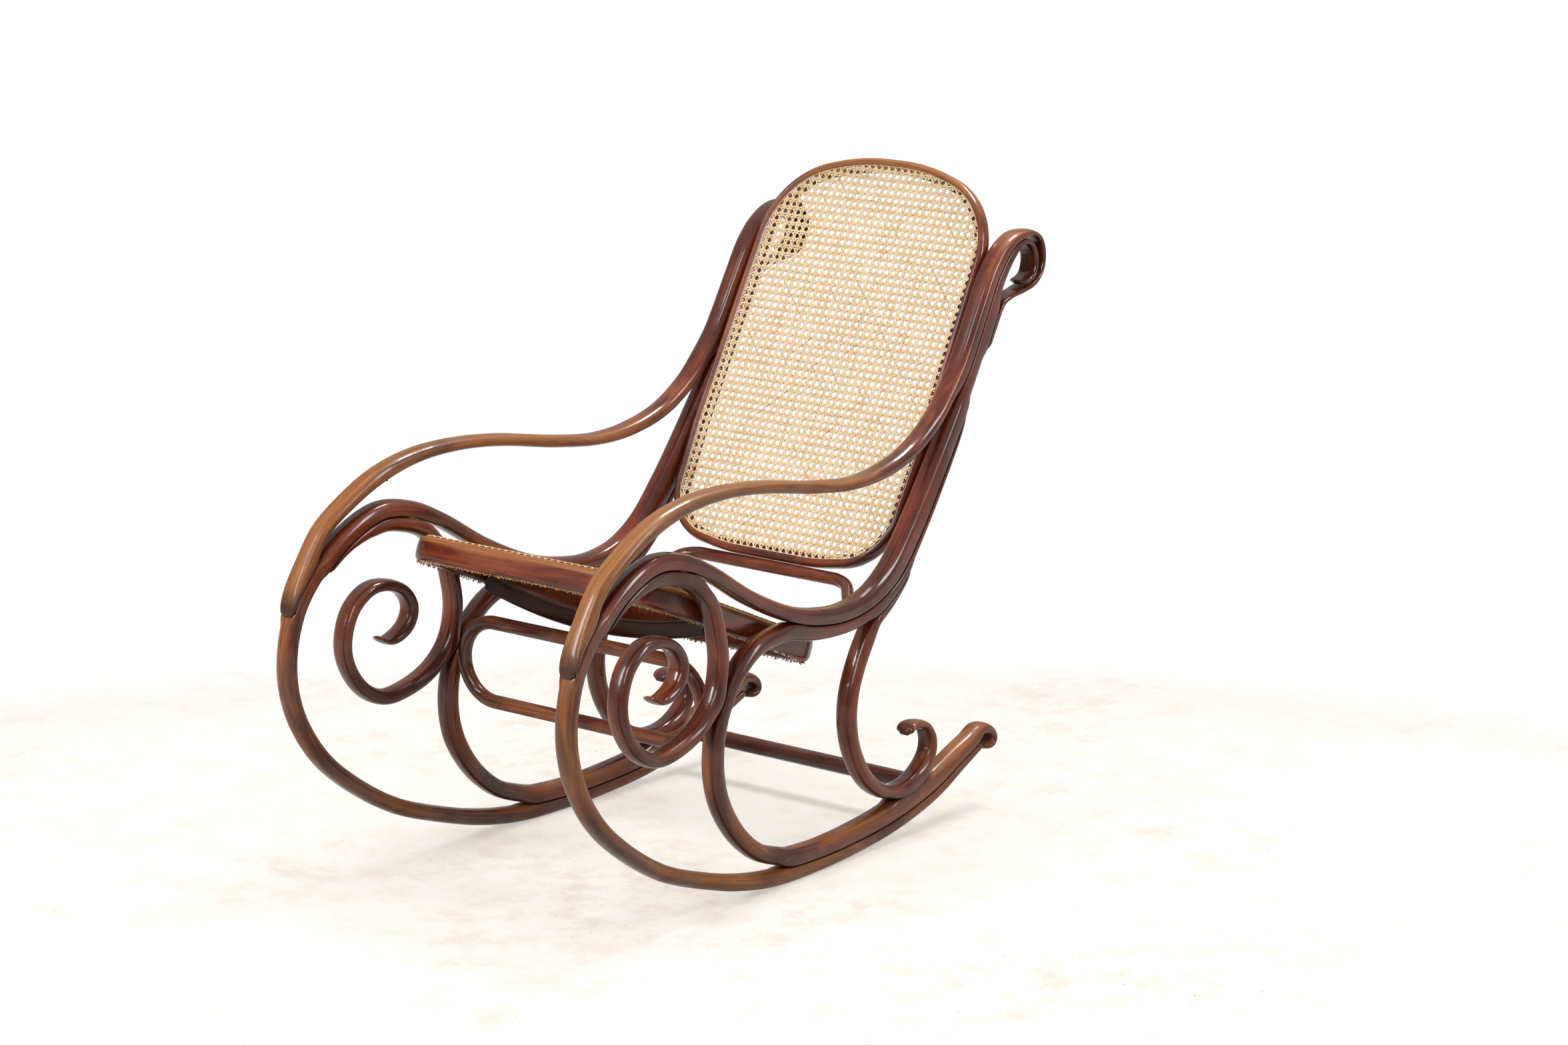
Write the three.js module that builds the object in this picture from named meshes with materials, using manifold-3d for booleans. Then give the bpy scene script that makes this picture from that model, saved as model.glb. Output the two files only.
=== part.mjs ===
// Bentwood rocking chair: two scrolled side frames of steam-bent rods, a caned seat and a caned back
// Millimetres, +Z up. The sitter faces -Y and the floor is at Z = 0
import * as THREE from 'three';
import { mergeGeometries, mergeVertices } from 'three/addons/utils/BufferGeometryUtils.js';
import Module from 'manifold-3d';

const wasm = await Module();
wasm.setup();

// Side frames: they stand closer together towards the rear
const sideDepth = 1130;
const sideHeight = 878;
const sideSpacing = 500;
const sideToeIn = THREE.MathUtils.degToRad(1.85);
const sideRake = THREE.MathUtils.degToRad(0.82);
const rodThickness = 24;
const rodWidth = 32;
const jointGap = 0.3;
const scribeGap = 0.25;
const wornDepth = 0.5;

// Seat: a bent ring that slopes down towards the rear, with a cane panel
const seatSlope = THREE.MathUtils.degToRad(23.3);
const seatLength = 435;
const seatRailHeight = 37;
const seatRailThickness = 26;
const seatEdgeRadius = 7;
const seatFrontShares = [-0.133, 0.5185];
const seatRearHalfWidth = 214;
const seatFrontCornerRadius = 48;
const seatRearCornerRadius = 62;
const seatSideBendRadius = 600;
const seatCaneThickness = 3;
const seatCaneDrop = 12;
const seatCanePitch = 36;
const seatCaneHole = 24;

// Back: a bent ring behind the posts, with a cane panel
const backFootShares = [0.346, 0.4459];
const backHeadShares = [0.618, 1.0895];
const backLength = 640;
const backRodWidth = 20;
const backRodDepth = 24;
const backEdgeRadius = 6;
const backCaneThickness = 3;
const backCaneForward = 3;
const backCanePitch = 32;
const backCaneHole = 21;

// Cross members
const slatHeight = 25;
const slatThickness = 12;
const slatSag = 29;
const slatEndRise = 3;
const slatBehindFront = 150;
const bowTube = 18.5;
const bowStraightHalf = 130;
const bowDrop = 63;
const bowTilt = THREE.MathUtils.degToRad(30);
const stretcherTube = 20;
const stretcherHeight = 118;
const stretcherShares = [-0.0283, 0.327];
const dowelDiameter = 25;
const dowelShares = [0.424, 0.0755];

// Facets
const maxTurn = THREE.MathUtils.degToRad(13);
const maxStep = 60;
const samplesPerSpan = 24;
const rodSides = 8;
const dowelSides = 16;

// Path points of the side rods: depth and height as shares of the side frame, thickness of the rod
const postPathShares = [
  [0.531, 0.12, 0.5], [0.488, 0.096, 0.65], [0.428, 0.062, 0.75], [0.338, 0.033, 0.808],
  [0.251, 0.02, 0.858], [0.166, 0.015, 0.917], [0.084, 0.018, 1.025], [0.017, 0.031, 1.025],
  [-0.048, 0.053, 1], [-0.14, 0.096, 1], [-0.226, 0.166, 1.025], [-0.27, 0.22, 1.025],
  [-0.302, 0.288, 1], [-0.314, 0.349, 1], [-0.311, 0.411, 1], [-0.294, 0.47, 1.042],
  [-0.258, 0.524, 1.025], [-0.211, 0.57, 1], [-0.154, 0.596, 1.017], [-0.099, 0.587, 1],
  [-0.047, 0.558, 0.967], [0.032, 0.499, 0.917], [0.114, 0.452, 0.958], [0.17, 0.434, 1],
  [0.227, 0.428, 1.017], [0.283, 0.441, 1.167], [0.329, 0.474, 1.417], [0.371, 0.532, 1.458],
  [0.416, 0.608, 1.375], [0.471, 0.71, 1.25], [0.511, 0.792, 1.15], [0.547, 0.877, 1.067],
  [0.564, 0.919, 0.933], [0.589, 0.957, 0.75], [0.606, 0.973, 0.567], [0.621, 0.978, 0.45],
  [0.636, 0.97, 0.417], [0.645, 0.945, 0.4], [0.639, 0.919, 0.367], [0.617, 0.908, 0.292],
];
const scrollPathShares = [
  [-0.044, 0.506, 0.958], [-0.029, 0.451, 1], [-0.025, 0.402, 1], [-0.037, 0.35, 0.958],
  [-0.067, 0.311, 1], [-0.111, 0.288, 1], [-0.153, 0.283, 0.958], [-0.19, 0.307, 0.875],
  [-0.215, 0.354, 0.792], [-0.219, 0.394, 0.792], [-0.205, 0.441, 0.833], [-0.176, 0.468, 0.833],
  [-0.146, 0.47, 0.75], [-0.116, 0.454, 0.75], [-0.102, 0.424, 0.792], [-0.11, 0.395, 0.833],
  [-0.132, 0.378, 0.917], [-0.153, 0.374, 0.667],
];
const loopPathShares = [
  [0.115, 0.421, 1.083], [0.081, 0.421, 1.083], [0.046, 0.412, 1.083], [0.013, 0.385, 1],
  [-0.015, 0.342, 0.958], [-0.032, 0.291, 1.067], [-0.036, 0.234, 1.125], [-0.026, 0.179, 1.167],
  [0.005, 0.119, 1.125], [0.048, 0.074, 1.083], [0.088, 0.054, 1.108],
];
const loopEndShares = [
  [0.531, 0.145, 0.875], [0.546, 0.143, 0.75], [0.558, 0.134, 0.667], [0.561, 0.121, 0.583],
  [0.554, 0.113, 0.5], [0.544, 0.113, 0.417],
];
const legPathShares = [
  [0.278, 0.368, 1], [0.257, 0.324, 1], [0.244, 0.281, 0.983], [0.241, 0.236, 0.958],
  [0.25, 0.186, 0.958], [0.278, 0.13, 0.983], [0.315, 0.098, 0.917], [0.354, 0.091, 0.917],
  [0.389, 0.103, 0.942], [0.416, 0.132, 0.875], [0.42, 0.16, 0.667], [0.407, 0.187, 0.525],
  [0.387, 0.194, 0.5], [0.372, 0.192, 0.467], [0.368, 0.182, 0.417],
];
const armPathShares = [
  [-0.252, 0.582, 0.917], [-0.206, 0.622, 1], [-0.153, 0.654, 1.042],
  [-0.09, 0.674, 0.917], [-0.019, 0.679, 0.792], [0.056, 0.672, 0.767], [0.17, 0.648, 0.767],
  [0.243, 0.638, 0.775], [0.306, 0.643, 0.875], [0.372, 0.666, 0.958], [0.424, 0.707, 1],
  [0.454, 0.745, 1.017],
];
const armScrollShares = [
  [0.639, 0.99, 0.417], [0.655, 0.978, 0.4], [0.662, 0.951, 0.4], [0.658, 0.924, 0.4],
  [0.642, 0.904, 0.383], [0.616, 0.895, 0.375], [0.59, 0.89, 0.367], [0.57, 0.881, 0.367],
];

// Where a rod lies against another: the stretch as shares of the carrier's length, and thicknesses
const scrollJoint = { shares: [0.48, 0.568], thicknessShares: [0.17, 0.45, 0.85, 0.92, 0.95] };
const loopTopJoint = {
  shares: [0.86, 0.6745],
  thicknessShares: [0.1, 0.27, 0.3, 0.33, 0.43, 0.66, 0.82, 0.85, 1],
};
const loopRunnerJoint = {
  shares: [0.183, 0.007],
  thicknessShares: [1.1, 1.02, 1.05, 1.1, 1.17, 1.25, 1.15, 1],
};
const legJoint = { shares: [0.156, 0.217], thicknessShares: [0.1, 0.3, 0.7] };
const armTipJoint = { shares: [0.449, 0.474], thicknessShares: [0.15, 0.6, 0.9] };
const armPostJoint = { shares: [0.877, 0.964], thicknessShares: [1.02, 1, 0.95, 0.85, 0.5] };
const armTailJoint = { shares: [0.915, 0.8935], thicknessShares: [0.36, 0.2] };

// Corners of the back ring from the foot's middle: half width, height and bend radius, as shares
const backCornerShares = [
  [0.38, 0, 0.5], [0.96, 0.03, 0.148], [1, 0.3, 0.5], [1, 0.931, 0.21], [0.28, 1, 0.5],
];

// Half path of the rear bow, from the end of its straight bar to the side frame
const bowBarShares = [0.5, 0.85, 0.95];
const bowPathShares = [[0, 0], [0.27, 0.13], [0.46, 0.45], [0.66, 0.82], [0.86, 1], [1, 1]];

// Values that follow from the sizes above
const halfSpacing = sideSpacing / 2;
const frameInset = rodWidth / 2 / Math.cos(sideToeIn) + jointGap;
const innerHalfAt = (y) => halfSpacing - y * Math.tan(sideToeIn) - frameInset;

// A place in a side frame, from shares of its depth and height
function sidePlace([depth, height]) {
  const u = depth * sideDepth;
  return new THREE.Vector2(u, height * sideHeight - u * Math.tan(sideRake));
}

// The same place on the middle plane: y and z
function middlePlace(shares) {
  const { x: u, y: z } = sidePlace(shares);
  return { y: u * Math.cos(sideToeIn), z };
}

// A manifold solid from a closed geometry, and back
function solidOf(geometry) {
  const bare = geometry.clone();
  bare.deleteAttribute('normal');
  bare.deleteAttribute('uv');
  const merged = mergeVertices(bare);
  const vertProperties = new Float32Array(merged.getAttribute('position').array);
  const triVerts = new Uint32Array(merged.getIndex().array);
  return new wasm.Manifold(new wasm.Mesh({ numProp: 3, vertProperties, triVerts }));
}

function geometryOf(solid) {
  const mesh = solid.getMesh();
  const geometry = new THREE.BufferGeometry();
  geometry.setAttribute('position', new THREE.BufferAttribute(mesh.vertProperties, 3));
  geometry.setIndex(new THREE.BufferAttribute(mesh.triVerts, 1));
  return geometry;
}

// Stations along a smooth curve through points [u, v, thickness], closer together where it bends
function bentStations(points, first, last) {
  const places = points.map(([u, v]) => new THREE.Vector3(u, v, 0));
  const curve = new THREE.CatmullRomCurve3(places, false, 'centripetal');
  const spans = points.length - 1;
  const samples = [];
  for (let i = first * samplesPerSpan; i <= last * samplesPerSpan; i += 1) {
    const at = i / samplesPerSpan;
    const span = Math.min(Math.floor(at), spans - 1);
    const tangent = curve.getTangent(at / spans);
    samples.push({
      p: curve.getPoint(at / spans),
      n: new THREE.Vector3(-tangent.y, tangent.x, 0),
      a: THREE.MathUtils.lerp(points[span][2], points[span + 1][2], at - span) / 2,
    });
  }
  const stations = [samples[0]];
  for (let i = 1; i < samples.length; i += 1) {
    const before = stations[stations.length - 1];
    const next = samples[Math.min(i + 1, samples.length - 1)];
    const turned = before.n.angleTo(next.n) > maxTurn;
    const far = before.p.distanceTo(next.p) > maxStep;
    if (turned || far || i === samples.length - 1) stations.push(samples[i]);
  }
  return stations;
}

// Distance of each station along its rod, as a share of the whole length
function lengthShares(stations) {
  const along = [0];
  for (let i = 1; i < stations.length; i += 1) {
    along.push(along[i - 1] + stations[i].p.distanceTo(stations[i - 1].p));
  }
  return along.map((length) => length / along[along.length - 1]);
}

function stationAt(stations, along, share) {
  const next = Math.max(1, along.findIndex((value) => value >= share));
  const mix = (share - along[next - 1]) / (along[next] - along[next - 1]);
  const [from, to] = [stations[next - 1], stations[next]];
  return {
    p: from.p.clone().lerp(to.p, mix),
    n: from.n.clone().lerp(to.n, mix),
    a: THREE.MathUtils.lerp(from.a, to.a, mix),
  };
}

// Stations of a rod that lies flat against a carrier, on its left (side 1) or right (side -1)
function seatedStations(carrier, joint, side) {
  const along = lengthShares(carrier);
  const [start, end] = joint.shares;
  const reversed = end < start;
  const [low, high] = reversed ? [end, start] : [start, end];
  const inside = carrier.filter((_, i) => along[i] > low && along[i] < high);
  const shares = [low, ...along.filter((value) => value > low && value < high), high];
  const seats = [stationAt(carrier, along, low), ...inside, stationAt(carrier, along, high)];
  const stations = seats.map((seat, i) => {
    const place = ((shares[i] - start) / (end - start)) * (joint.thicknessShares.length - 1);
    const row = Math.min(Math.floor(place), joint.thicknessShares.length - 2);
    const [thin, thick] = [joint.thicknessShares[row], joint.thicknessShares[row + 1]];
    const a = (THREE.MathUtils.lerp(thin, thick, place - row) * rodThickness) / 2;
    return {
      p: seat.p.clone().addScaledVector(seat.n, side * (seat.a + jointGap + a)),
      n: seat.n.clone().multiplyScalar(reversed ? -1 : 1),
      a,
    };
  });
  return reversed ? stations.reverse() : stations;
}

// A rod from seated stretches and free paths in turn, each path joined smoothly to its neighbours
function rodStations(stretches) {
  const rows = (stations) => stations.map(({ p, a }) => [p.x, p.y, 2 * a]);
  return stretches.flatMap((stretch, i) => {
    if (!stretch.path) return stretch.seated;
    const before = i > 0 ? rows(stretches[i - 1].seated.slice(-2)) : [];
    const after = i < stretches.length - 1 ? rows(stretches[i + 1].seated.slice(0, 2)) : [];
    const points = [...before, ...stretch.path, ...after];
    const first = Math.max(0, before.length - 1);
    const last = points.length - 1 - Math.max(0, after.length - 1);
    const stations = bentStations(points, first, last);
    return stations.slice(before.length ? 1 : 0, after.length ? -1 : undefined);
  });
}

// An eight-sided rod around its stations, with flats of the full thickness and width
function rodGeometry(stations, width, closed = false, grow = 0) {
  const corner = 1 / Math.cos(Math.PI / rodSides);
  const positions = [];
  const indices = [];
  for (const { p, n, a } of stations) {
    for (let k = 0; k < rodSides; k += 1) {
      const angle = ((k + 0.5) / rodSides) * 2 * Math.PI;
      const across = (a + grow) * corner * Math.cos(angle);
      const place = p.clone().addScaledVector(n, across);
      positions.push(place.x, place.y, (width / 2 + grow) * corner * Math.sin(angle));
    }
  }
  const bands = closed ? stations.length : stations.length - 1;
  for (let i = 0; i < bands; i += 1) {
    const here = i * rodSides;
    const next = ((i + 1) % stations.length) * rodSides;
    for (let k = 0; k < rodSides; k += 1) {
      const l = (k + 1) % rodSides;
      indices.push(here + k, here + l, next + l, here + k, next + l, next + k);
    }
  }
  if (!closed) {
    const end = (stations.length - 1) * rodSides;
    for (let k = 1; k < rodSides - 1; k += 1) {
      indices.push(0, k + 1, k, end, end + k, end + k + 1);
    }
  }
  const geometry = new THREE.BufferGeometry();
  geometry.setAttribute('position', new THREE.Float32BufferAttribute(positions, 3));
  geometry.setIndex(indices);
  return geometry;
}

// Side rods
const scaled = (rows) => rows.map(([depth, height, thickness]) => [
  ...sidePlace([depth, height]),
  thickness * rodThickness,
]);
const seated = (carrier, joint, side) => ({ seated: seatedStations(carrier, joint, side) });
const free = (shares) => ({ path: scaled(shares) });

const post = bentStations(scaled(postPathShares), 0, postPathShares.length - 1);
const scroll = rodStations([seated(post, scrollJoint, -1), free(scrollPathShares)]);
const loop = rodStations([
  seated(post, loopTopJoint, -1),
  free(loopPathShares),
  seated(post, loopRunnerJoint, -1),
  free(loopEndShares),
]);
const leg = rodStations([seated(loop, legJoint, 1), free(legPathShares)]);
const arm = rodStations([
  seated(post, armTipJoint, 1),
  free(armPathShares),
  seated(post, armPostJoint, 1),
  free(armScrollShares),
  seated(post, armTailJoint, -1),
]);

// Each rod is scribed to the ones before it where they only just touch
function scribed(stations, neighbours) {
  let solid = solidOf(rodGeometry(stations, rodWidth));
  for (const neighbour of neighbours) {
    solid = solid.subtract(solidOf(rodGeometry(neighbour, rodWidth, false, scribeGap)));
  }
  return solid;
}

// The runner is worn flat where the chair rests
function wornRunner(stations) {
  const solid = solidOf(rodGeometry(stations, rodWidth));
  const { min, max } = solid.boundingBox();
  const floor = new THREE.BoxGeometry(2 * sideDepth, 2 * rodWidth, 2 * rodWidth);
  floor.translate((min[0] + max[0]) / 2, min[1] + wornDepth - rodWidth, 0);
  return solid.subtract(solidOf(floor));
}

const sideRods = {
  runner_and_post: wornRunner(post),
  scroll_rod: scribed(scroll, [post]),
  lower_loop: scribed(loop, [post, scroll]),
  back_leg: scribed(leg, [post, loop]),
  arm: scribed(arm, [post, loop]),
};

// A closed outline with rounded corners [x, y, radius], moved inwards by an inset
function roundedOutline(corners, inset) {
  const count = corners.length;
  const edges = corners.map(([x, y], i) => {
    const [nextX, nextY] = corners[(i + 1) % count];
    const direction = new THREE.Vector2(nextX - x, nextY - y).normalize();
    const inward = new THREE.Vector2(-direction.y, direction.x);
    return { start: new THREE.Vector2(x, y).addScaledVector(inward, inset), direction, inward };
  });
  const points = [];
  edges.forEach((edge, i) => {
    const before = edges[(i + count - 1) % count];
    const cross = before.direction.cross(edge.direction);
    const turn = Math.atan2(cross, before.direction.dot(edge.direction));
    const between = edge.start.clone().sub(before.start);
    const reach = between.cross(edge.direction) / cross;
    const corner = before.start.clone().addScaledVector(before.direction, reach);
    const radius = corners[i][2] - inset;
    const setback = radius * Math.tan(turn / 2);
    const centre = corner.clone().addScaledVector(before.direction, -setback);
    centre.addScaledVector(before.inward, radius);
    const steps = Math.max(1, Math.ceil(turn / maxTurn));
    for (let k = 0; k <= steps; k += 1) {
      const outward = before.inward.clone().negate();
      outward.rotateAround(new THREE.Vector2(), (turn * k) / steps);
      points.push(centre.clone().addScaledVector(outward, radius));
    }
  });
  return points;
}

const mirroredCorners = (half) => [
  ...half,
  ...half.map(([x, y, radius]) => [-x, y, radius]).reverse(),
];

// The seat reaches the side frames along its front half
const seatFront = middlePlace(seatFrontShares);
const seatTopFrontY = seatFront.y + seatRailHeight * Math.sin(seatSlope);
const seatHalfAt = (along) => innerHalfAt(seatTopFrontY + along * Math.cos(seatSlope));
const seatCorners = mirroredCorners([
  [seatHalfAt(0), 0, seatFrontCornerRadius],
  [seatHalfAt(seatLength / 2), seatLength / 2, seatSideBendRadius],
  [seatRearHalfWidth, seatLength, seatRearCornerRadius],
]);

// The back leans with the posts and narrows with them
const backFoot = middlePlace(backFootShares);
const backHead = middlePlace(backHeadShares);
const backTilt = Math.atan2(backHead.y - backFoot.y, backHead.z - backFoot.z);
const backRearY = backFoot.y + (backRodDepth / 2) * Math.cos(backTilt);
const backHalfAt = (along) => innerHalfAt(backRearY + along * Math.sin(backTilt));
const backCorners = mirroredCorners(backCornerShares.map(([across, up, radius]) => [
  across * backHalfAt(up * backLength),
  up * backLength,
  radius * backLength,
]));

// A bent ring with rounded edges, centred on its own mid plane
function ringGeometry(corners, thickness, depth, edgeRadius) {
  const shape = new THREE.Shape(roundedOutline(corners, 0));
  shape.holes.push(new THREE.Path(roundedOutline(corners, thickness)));
  const geometry = new THREE.ExtrudeGeometry(shape, {
    depth: depth - 2 * edgeRadius,
    bevelThickness: edgeRadius,
    bevelSize: edgeRadius,
    bevelOffset: -edgeRadius,
    bevelSegments: 2,
  });
  return geometry.translate(0, 0, edgeRadius - depth / 2);
}

// A cane panel: a thin sheet with a square net of holes, all clear of its rim
function caneGeometry(corners, inset, thickness, pitch, hole) {
  const outline = roundedOutline(corners, inset);
  const rim = roundedOutline(corners, inset + pitch - hole);
  const { min, max } = new THREE.Box2().setFromPoints(outline);
  const columns = Math.floor((max.x - min.x) / pitch);
  const rows = Math.floor((max.y - min.y) / pitch);
  const middle = (min.y + max.y) / 2;
  const holes = [];
  for (let column = 0; column < columns; column += 1) {
    for (let row = 0; row < rows; row += 1) {
      const x = (column - (columns - 1) / 2) * pitch;
      const y = middle + (row - (rows - 1) / 2) * pitch;
      const square = [[-1, -1], [-1, 1], [1, 1], [1, -1]].map(
        ([right, up]) => new THREE.Vector2(x + (right * hole) / 2, y + (up * hole) / 2),
      );
      if (square.every((point) => isInside(point, rim))) {
        holes.push(new THREE.BoxGeometry(hole, hole, 3 * thickness).translate(x, y, 0));
      }
    }
  }
  const shape = new THREE.Shape(outline);
  const sheet = new THREE.ExtrudeGeometry(shape, { depth: thickness, bevelEnabled: false });
  sheet.translate(0, 0, -thickness / 2);
  return geometryOf(solidOf(sheet).subtract(solidOf(mergeGeometries(holes))));
}

function isInside(point, polygon) {
  let inside = false;
  polygon.forEach((end, i) => {
    const start = polygon[(i + polygon.length - 1) % polygon.length];
    if (end.y > point.y === start.y > point.y) return;
    const crossing = start.x + ((point.y - start.y) / (end.y - start.y)) * (end.x - start.x);
    if (point.x < crossing) inside = !inside;
  });
  return inside;
}

// Stations of a racetrack ring and of the curved slat and bow
function racetrackStations(halfLength, radius, tube) {
  const steps = Math.ceil(Math.PI / maxTurn / 2) * 2;
  const stations = [];
  for (const end of [1, -1]) {
    for (let k = 0; k <= steps; k += 1) {
      const angle = (k / steps - 0.5) * Math.PI + (end > 0 ? 0 : Math.PI);
      const n = new THREE.Vector3(Math.cos(angle), Math.sin(angle), 0);
      const p = n.clone().multiplyScalar(radius);
      p.x += end * halfLength;
      stations.push({ p, n: n.negate(), a: tube / 2 });
    }
  }
  return stations;
}

const slatY = seatFront.y + slatBehindFront;
const slatEndAlong = (slatBehindFront + slatThickness / 2) / Math.cos(seatSlope);
const slatHalfLength = seatHalfAt(slatEndAlong) - seatRailThickness - jointGap;
const slatRadius = (slatHalfLength ** 2 + slatSag ** 2) / (2 * slatSag);
const slatHalfAngle = Math.asin(slatHalfLength / slatRadius);
const slatStations = [];
const slatSteps = 2 * Math.ceil(slatHalfAngle / maxTurn) + 2;
for (let k = 0; k <= slatSteps; k += 1) {
  const angle = slatHalfAngle * ((2 * k) / slatSteps - 1);
  const n = new THREE.Vector3(-Math.sin(angle), Math.cos(angle), 0);
  const p = new THREE.Vector3(0, slatRadius, 0).addScaledVector(n, -slatRadius);
  slatStations.push({ p, n, a: slatHeight / 2 });
}

// A flat slat: four-sided sections with upright ends
function slatGeometry() {
  const shape = new THREE.Shape();
  const edge = (sign) => slatStations.map(({ p }) => new THREE.Vector2(p.x, p.y + (sign * slatHeight) / 2));
  shape.setFromPoints([...edge(-1), ...edge(1).reverse()]);
  const geometry = new THREE.ExtrudeGeometry(shape, { depth: slatThickness, bevelEnabled: false });
  return geometry.translate(0, 0, -slatThickness / 2);
}

// The bow stands under the back's foot and its ends lie against the side frames
const bowSeat = bowTube / 2 / Math.cos(Math.PI / rodSides) + jointGap;
const bowTopY = backFoot.y - bowSeat * Math.sin(backTilt);
const bowTopZ = backFoot.z - bowSeat * Math.cos(backTilt);
const bowEndY = bowTopY - bowDrop * Math.sin(bowTilt) + bowSeat;
const bowReach = innerHalfAt(bowEndY) - bowStraightHalf;
const bowHalfPoints = [
  ...bowBarShares.map((share) => [share * bowStraightHalf, 0]),
  ...bowPathShares.map(([across, down]) => [bowStraightHalf + across * bowReach, -down * bowDrop]),
];
const bowPoints = [
  ...bowHalfPoints.map(([x, y]) => [-x, y, bowTube]).reverse(),
  ...bowHalfPoints.map(([x, y]) => [x, y, bowTube]),
];
const bowStations = bentStations(bowPoints, 0, bowPoints.length - 1);

// Materials
const varnish = (color, roughness) => new THREE.MeshStandardMaterial({ color, roughness, metalness: 0 });
const darkWood = 0x5f3426;
const wornWood = 0x8a5a34;
const blackWood = 0x2c1c16;
const cane = 0xd9bd8a;

function piece(name, geometry, material) {
  const mesh = new THREE.Mesh(geometry, material);
  mesh.name = name;
  return mesh;
}

const chair = new THREE.Group();

for (const [suffix, sign] of [['left', 1], ['right', -1]]) {
  const side = new THREE.Group();
  const turn = new THREE.Matrix4().makeBasis(
    new THREE.Vector3(-sign * Math.sin(sideToeIn), Math.cos(sideToeIn), 0),
    new THREE.Vector3(0, 0, 1),
    new THREE.Vector3(Math.cos(sideToeIn), sign * Math.sin(sideToeIn), 0),
  );
  side.quaternion.setFromRotationMatrix(turn);
  side.position.x = sign * halfSpacing;
  for (const [name, solid] of Object.entries(sideRods)) {
    const material = varnish(name === 'arm' ? wornWood : darkWood, 0.35);
    side.add(piece(`${name}_${suffix}`, geometryOf(solid), material));
  }
  chair.add(side);
}

const seat = new THREE.Group();
seat.rotation.x = -seatSlope;
const seatRise = seatRailHeight / 2;
seat.position.set(
  0,
  seatFront.y + seatRise * Math.sin(seatSlope),
  seatFront.z + seatRise * Math.cos(seatSlope),
);
const seatRing = ringGeometry(seatCorners, seatRailThickness, seatRailHeight, seatEdgeRadius);
seat.add(piece('seat_ring', seatRing, varnish(darkWood, 0.4)));
const seatCaneInset = seatRailThickness + jointGap;
const seatCane = caneGeometry(seatCorners, seatCaneInset, seatCaneThickness, seatCanePitch, seatCaneHole);
seatCane.translate(0, 0, seatRise - seatCaneDrop);
seat.add(piece('seat_cane', seatCane, varnish(cane, 0.6)));
chair.add(seat);

const back = new THREE.Group();
back.rotation.x = Math.PI / 2 - backTilt;
back.position.set(0, backFoot.y, backFoot.z);
const backRing = ringGeometry(backCorners, backRodWidth, backRodDepth, backEdgeRadius);
back.add(piece('back_ring', backRing, varnish(darkWood, 0.35)));
const backCaneInset = backRodWidth + jointGap;
const backCane = caneGeometry(backCorners, backCaneInset, backCaneThickness, backCanePitch, backCaneHole);
backCane.translate(0, 0, backCaneForward);
back.add(piece('back_cane', backCane, varnish(cane, 0.6)));
chair.add(back);

const slat = piece('under_seat_slat', slatGeometry(), varnish(blackWood, 0.5));
slat.rotation.x = Math.PI / 2;
const seatUndersideZ = seatFront.z - slatBehindFront * Math.tan(seatSlope);
slat.position.set(0, slatY, seatUndersideZ + slatEndRise - slatSag);
chair.add(slat);

const bow = piece('rear_bow', rodGeometry(bowStations, bowTube), varnish(darkWood, 0.35));
bow.rotation.x = bowTilt;
bow.position.set(0, bowTopY, bowTopZ);
chair.add(bow);

const stretcherPlace = middlePlace(stretcherShares);
const stretcherRadius = stretcherHeight / 2;
const stretcherReach = innerHalfAt(stretcherPlace.y + stretcherTube / 2);
const stretcherHalfLength = stretcherReach - stretcherTube / 2 - stretcherRadius;
const stretcherStations = racetrackStations(stretcherHalfLength, stretcherRadius, stretcherTube);
const stretcherRing = rodGeometry(stretcherStations, stretcherTube, true);
const stretcher = piece('front_stretcher', stretcherRing, varnish(darkWood, 0.4));
stretcher.rotation.x = Math.PI / 2;
stretcher.position.set(0, stretcherPlace.y, stretcherPlace.z);
chair.add(stretcher);

const dowelPlace = middlePlace(dowelShares);
const dowelLength = 2 * innerHalfAt(dowelPlace.y + dowelDiameter / 2);
const dowelRod = new THREE.CylinderGeometry(dowelDiameter / 2, dowelDiameter / 2, dowelLength, dowelSides);
const dowel = piece('rear_dowel', dowelRod, varnish(darkWood, 0.4));
dowel.rotation.z = Math.PI / 2;
dowel.position.set(0, dowelPlace.y, dowelPlace.z);
chair.add(dowel);

// The origin is under the middle of the chair, on the floor
const box = new THREE.Box3().setFromObject(chair);
const centre = box.getCenter(new THREE.Vector3());
chair.position.set(-centre.x, -centre.y, -box.min.z);

const rockingChair = new THREE.Group();
rockingChair.add(chair);

export default rockingChair;
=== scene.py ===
# Bentwood rocking chair: bent rods with flat glued joints, hand-woven cane, worn brown varnish
import math
import bpy
import numpy as np
from mathutils import Matrix, Vector


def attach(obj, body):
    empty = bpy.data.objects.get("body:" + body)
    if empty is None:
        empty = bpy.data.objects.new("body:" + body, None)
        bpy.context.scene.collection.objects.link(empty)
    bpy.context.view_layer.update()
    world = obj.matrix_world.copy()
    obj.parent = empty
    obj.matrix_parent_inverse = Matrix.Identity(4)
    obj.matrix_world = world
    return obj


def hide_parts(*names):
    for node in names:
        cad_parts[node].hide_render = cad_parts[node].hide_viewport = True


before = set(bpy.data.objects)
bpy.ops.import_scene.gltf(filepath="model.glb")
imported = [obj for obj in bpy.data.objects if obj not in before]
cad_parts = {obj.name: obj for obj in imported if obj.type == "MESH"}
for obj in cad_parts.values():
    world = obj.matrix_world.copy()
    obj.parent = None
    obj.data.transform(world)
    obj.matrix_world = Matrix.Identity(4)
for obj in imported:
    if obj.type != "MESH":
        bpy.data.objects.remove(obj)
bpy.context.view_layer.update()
shift = np.array([0.0, -192.744, -0.032])  # from the side frame's own drawing to the part's frame, in mm
upward = np.array([0, 0, 1.0])
print("frame loaded,", len(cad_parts), "nodes")


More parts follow.
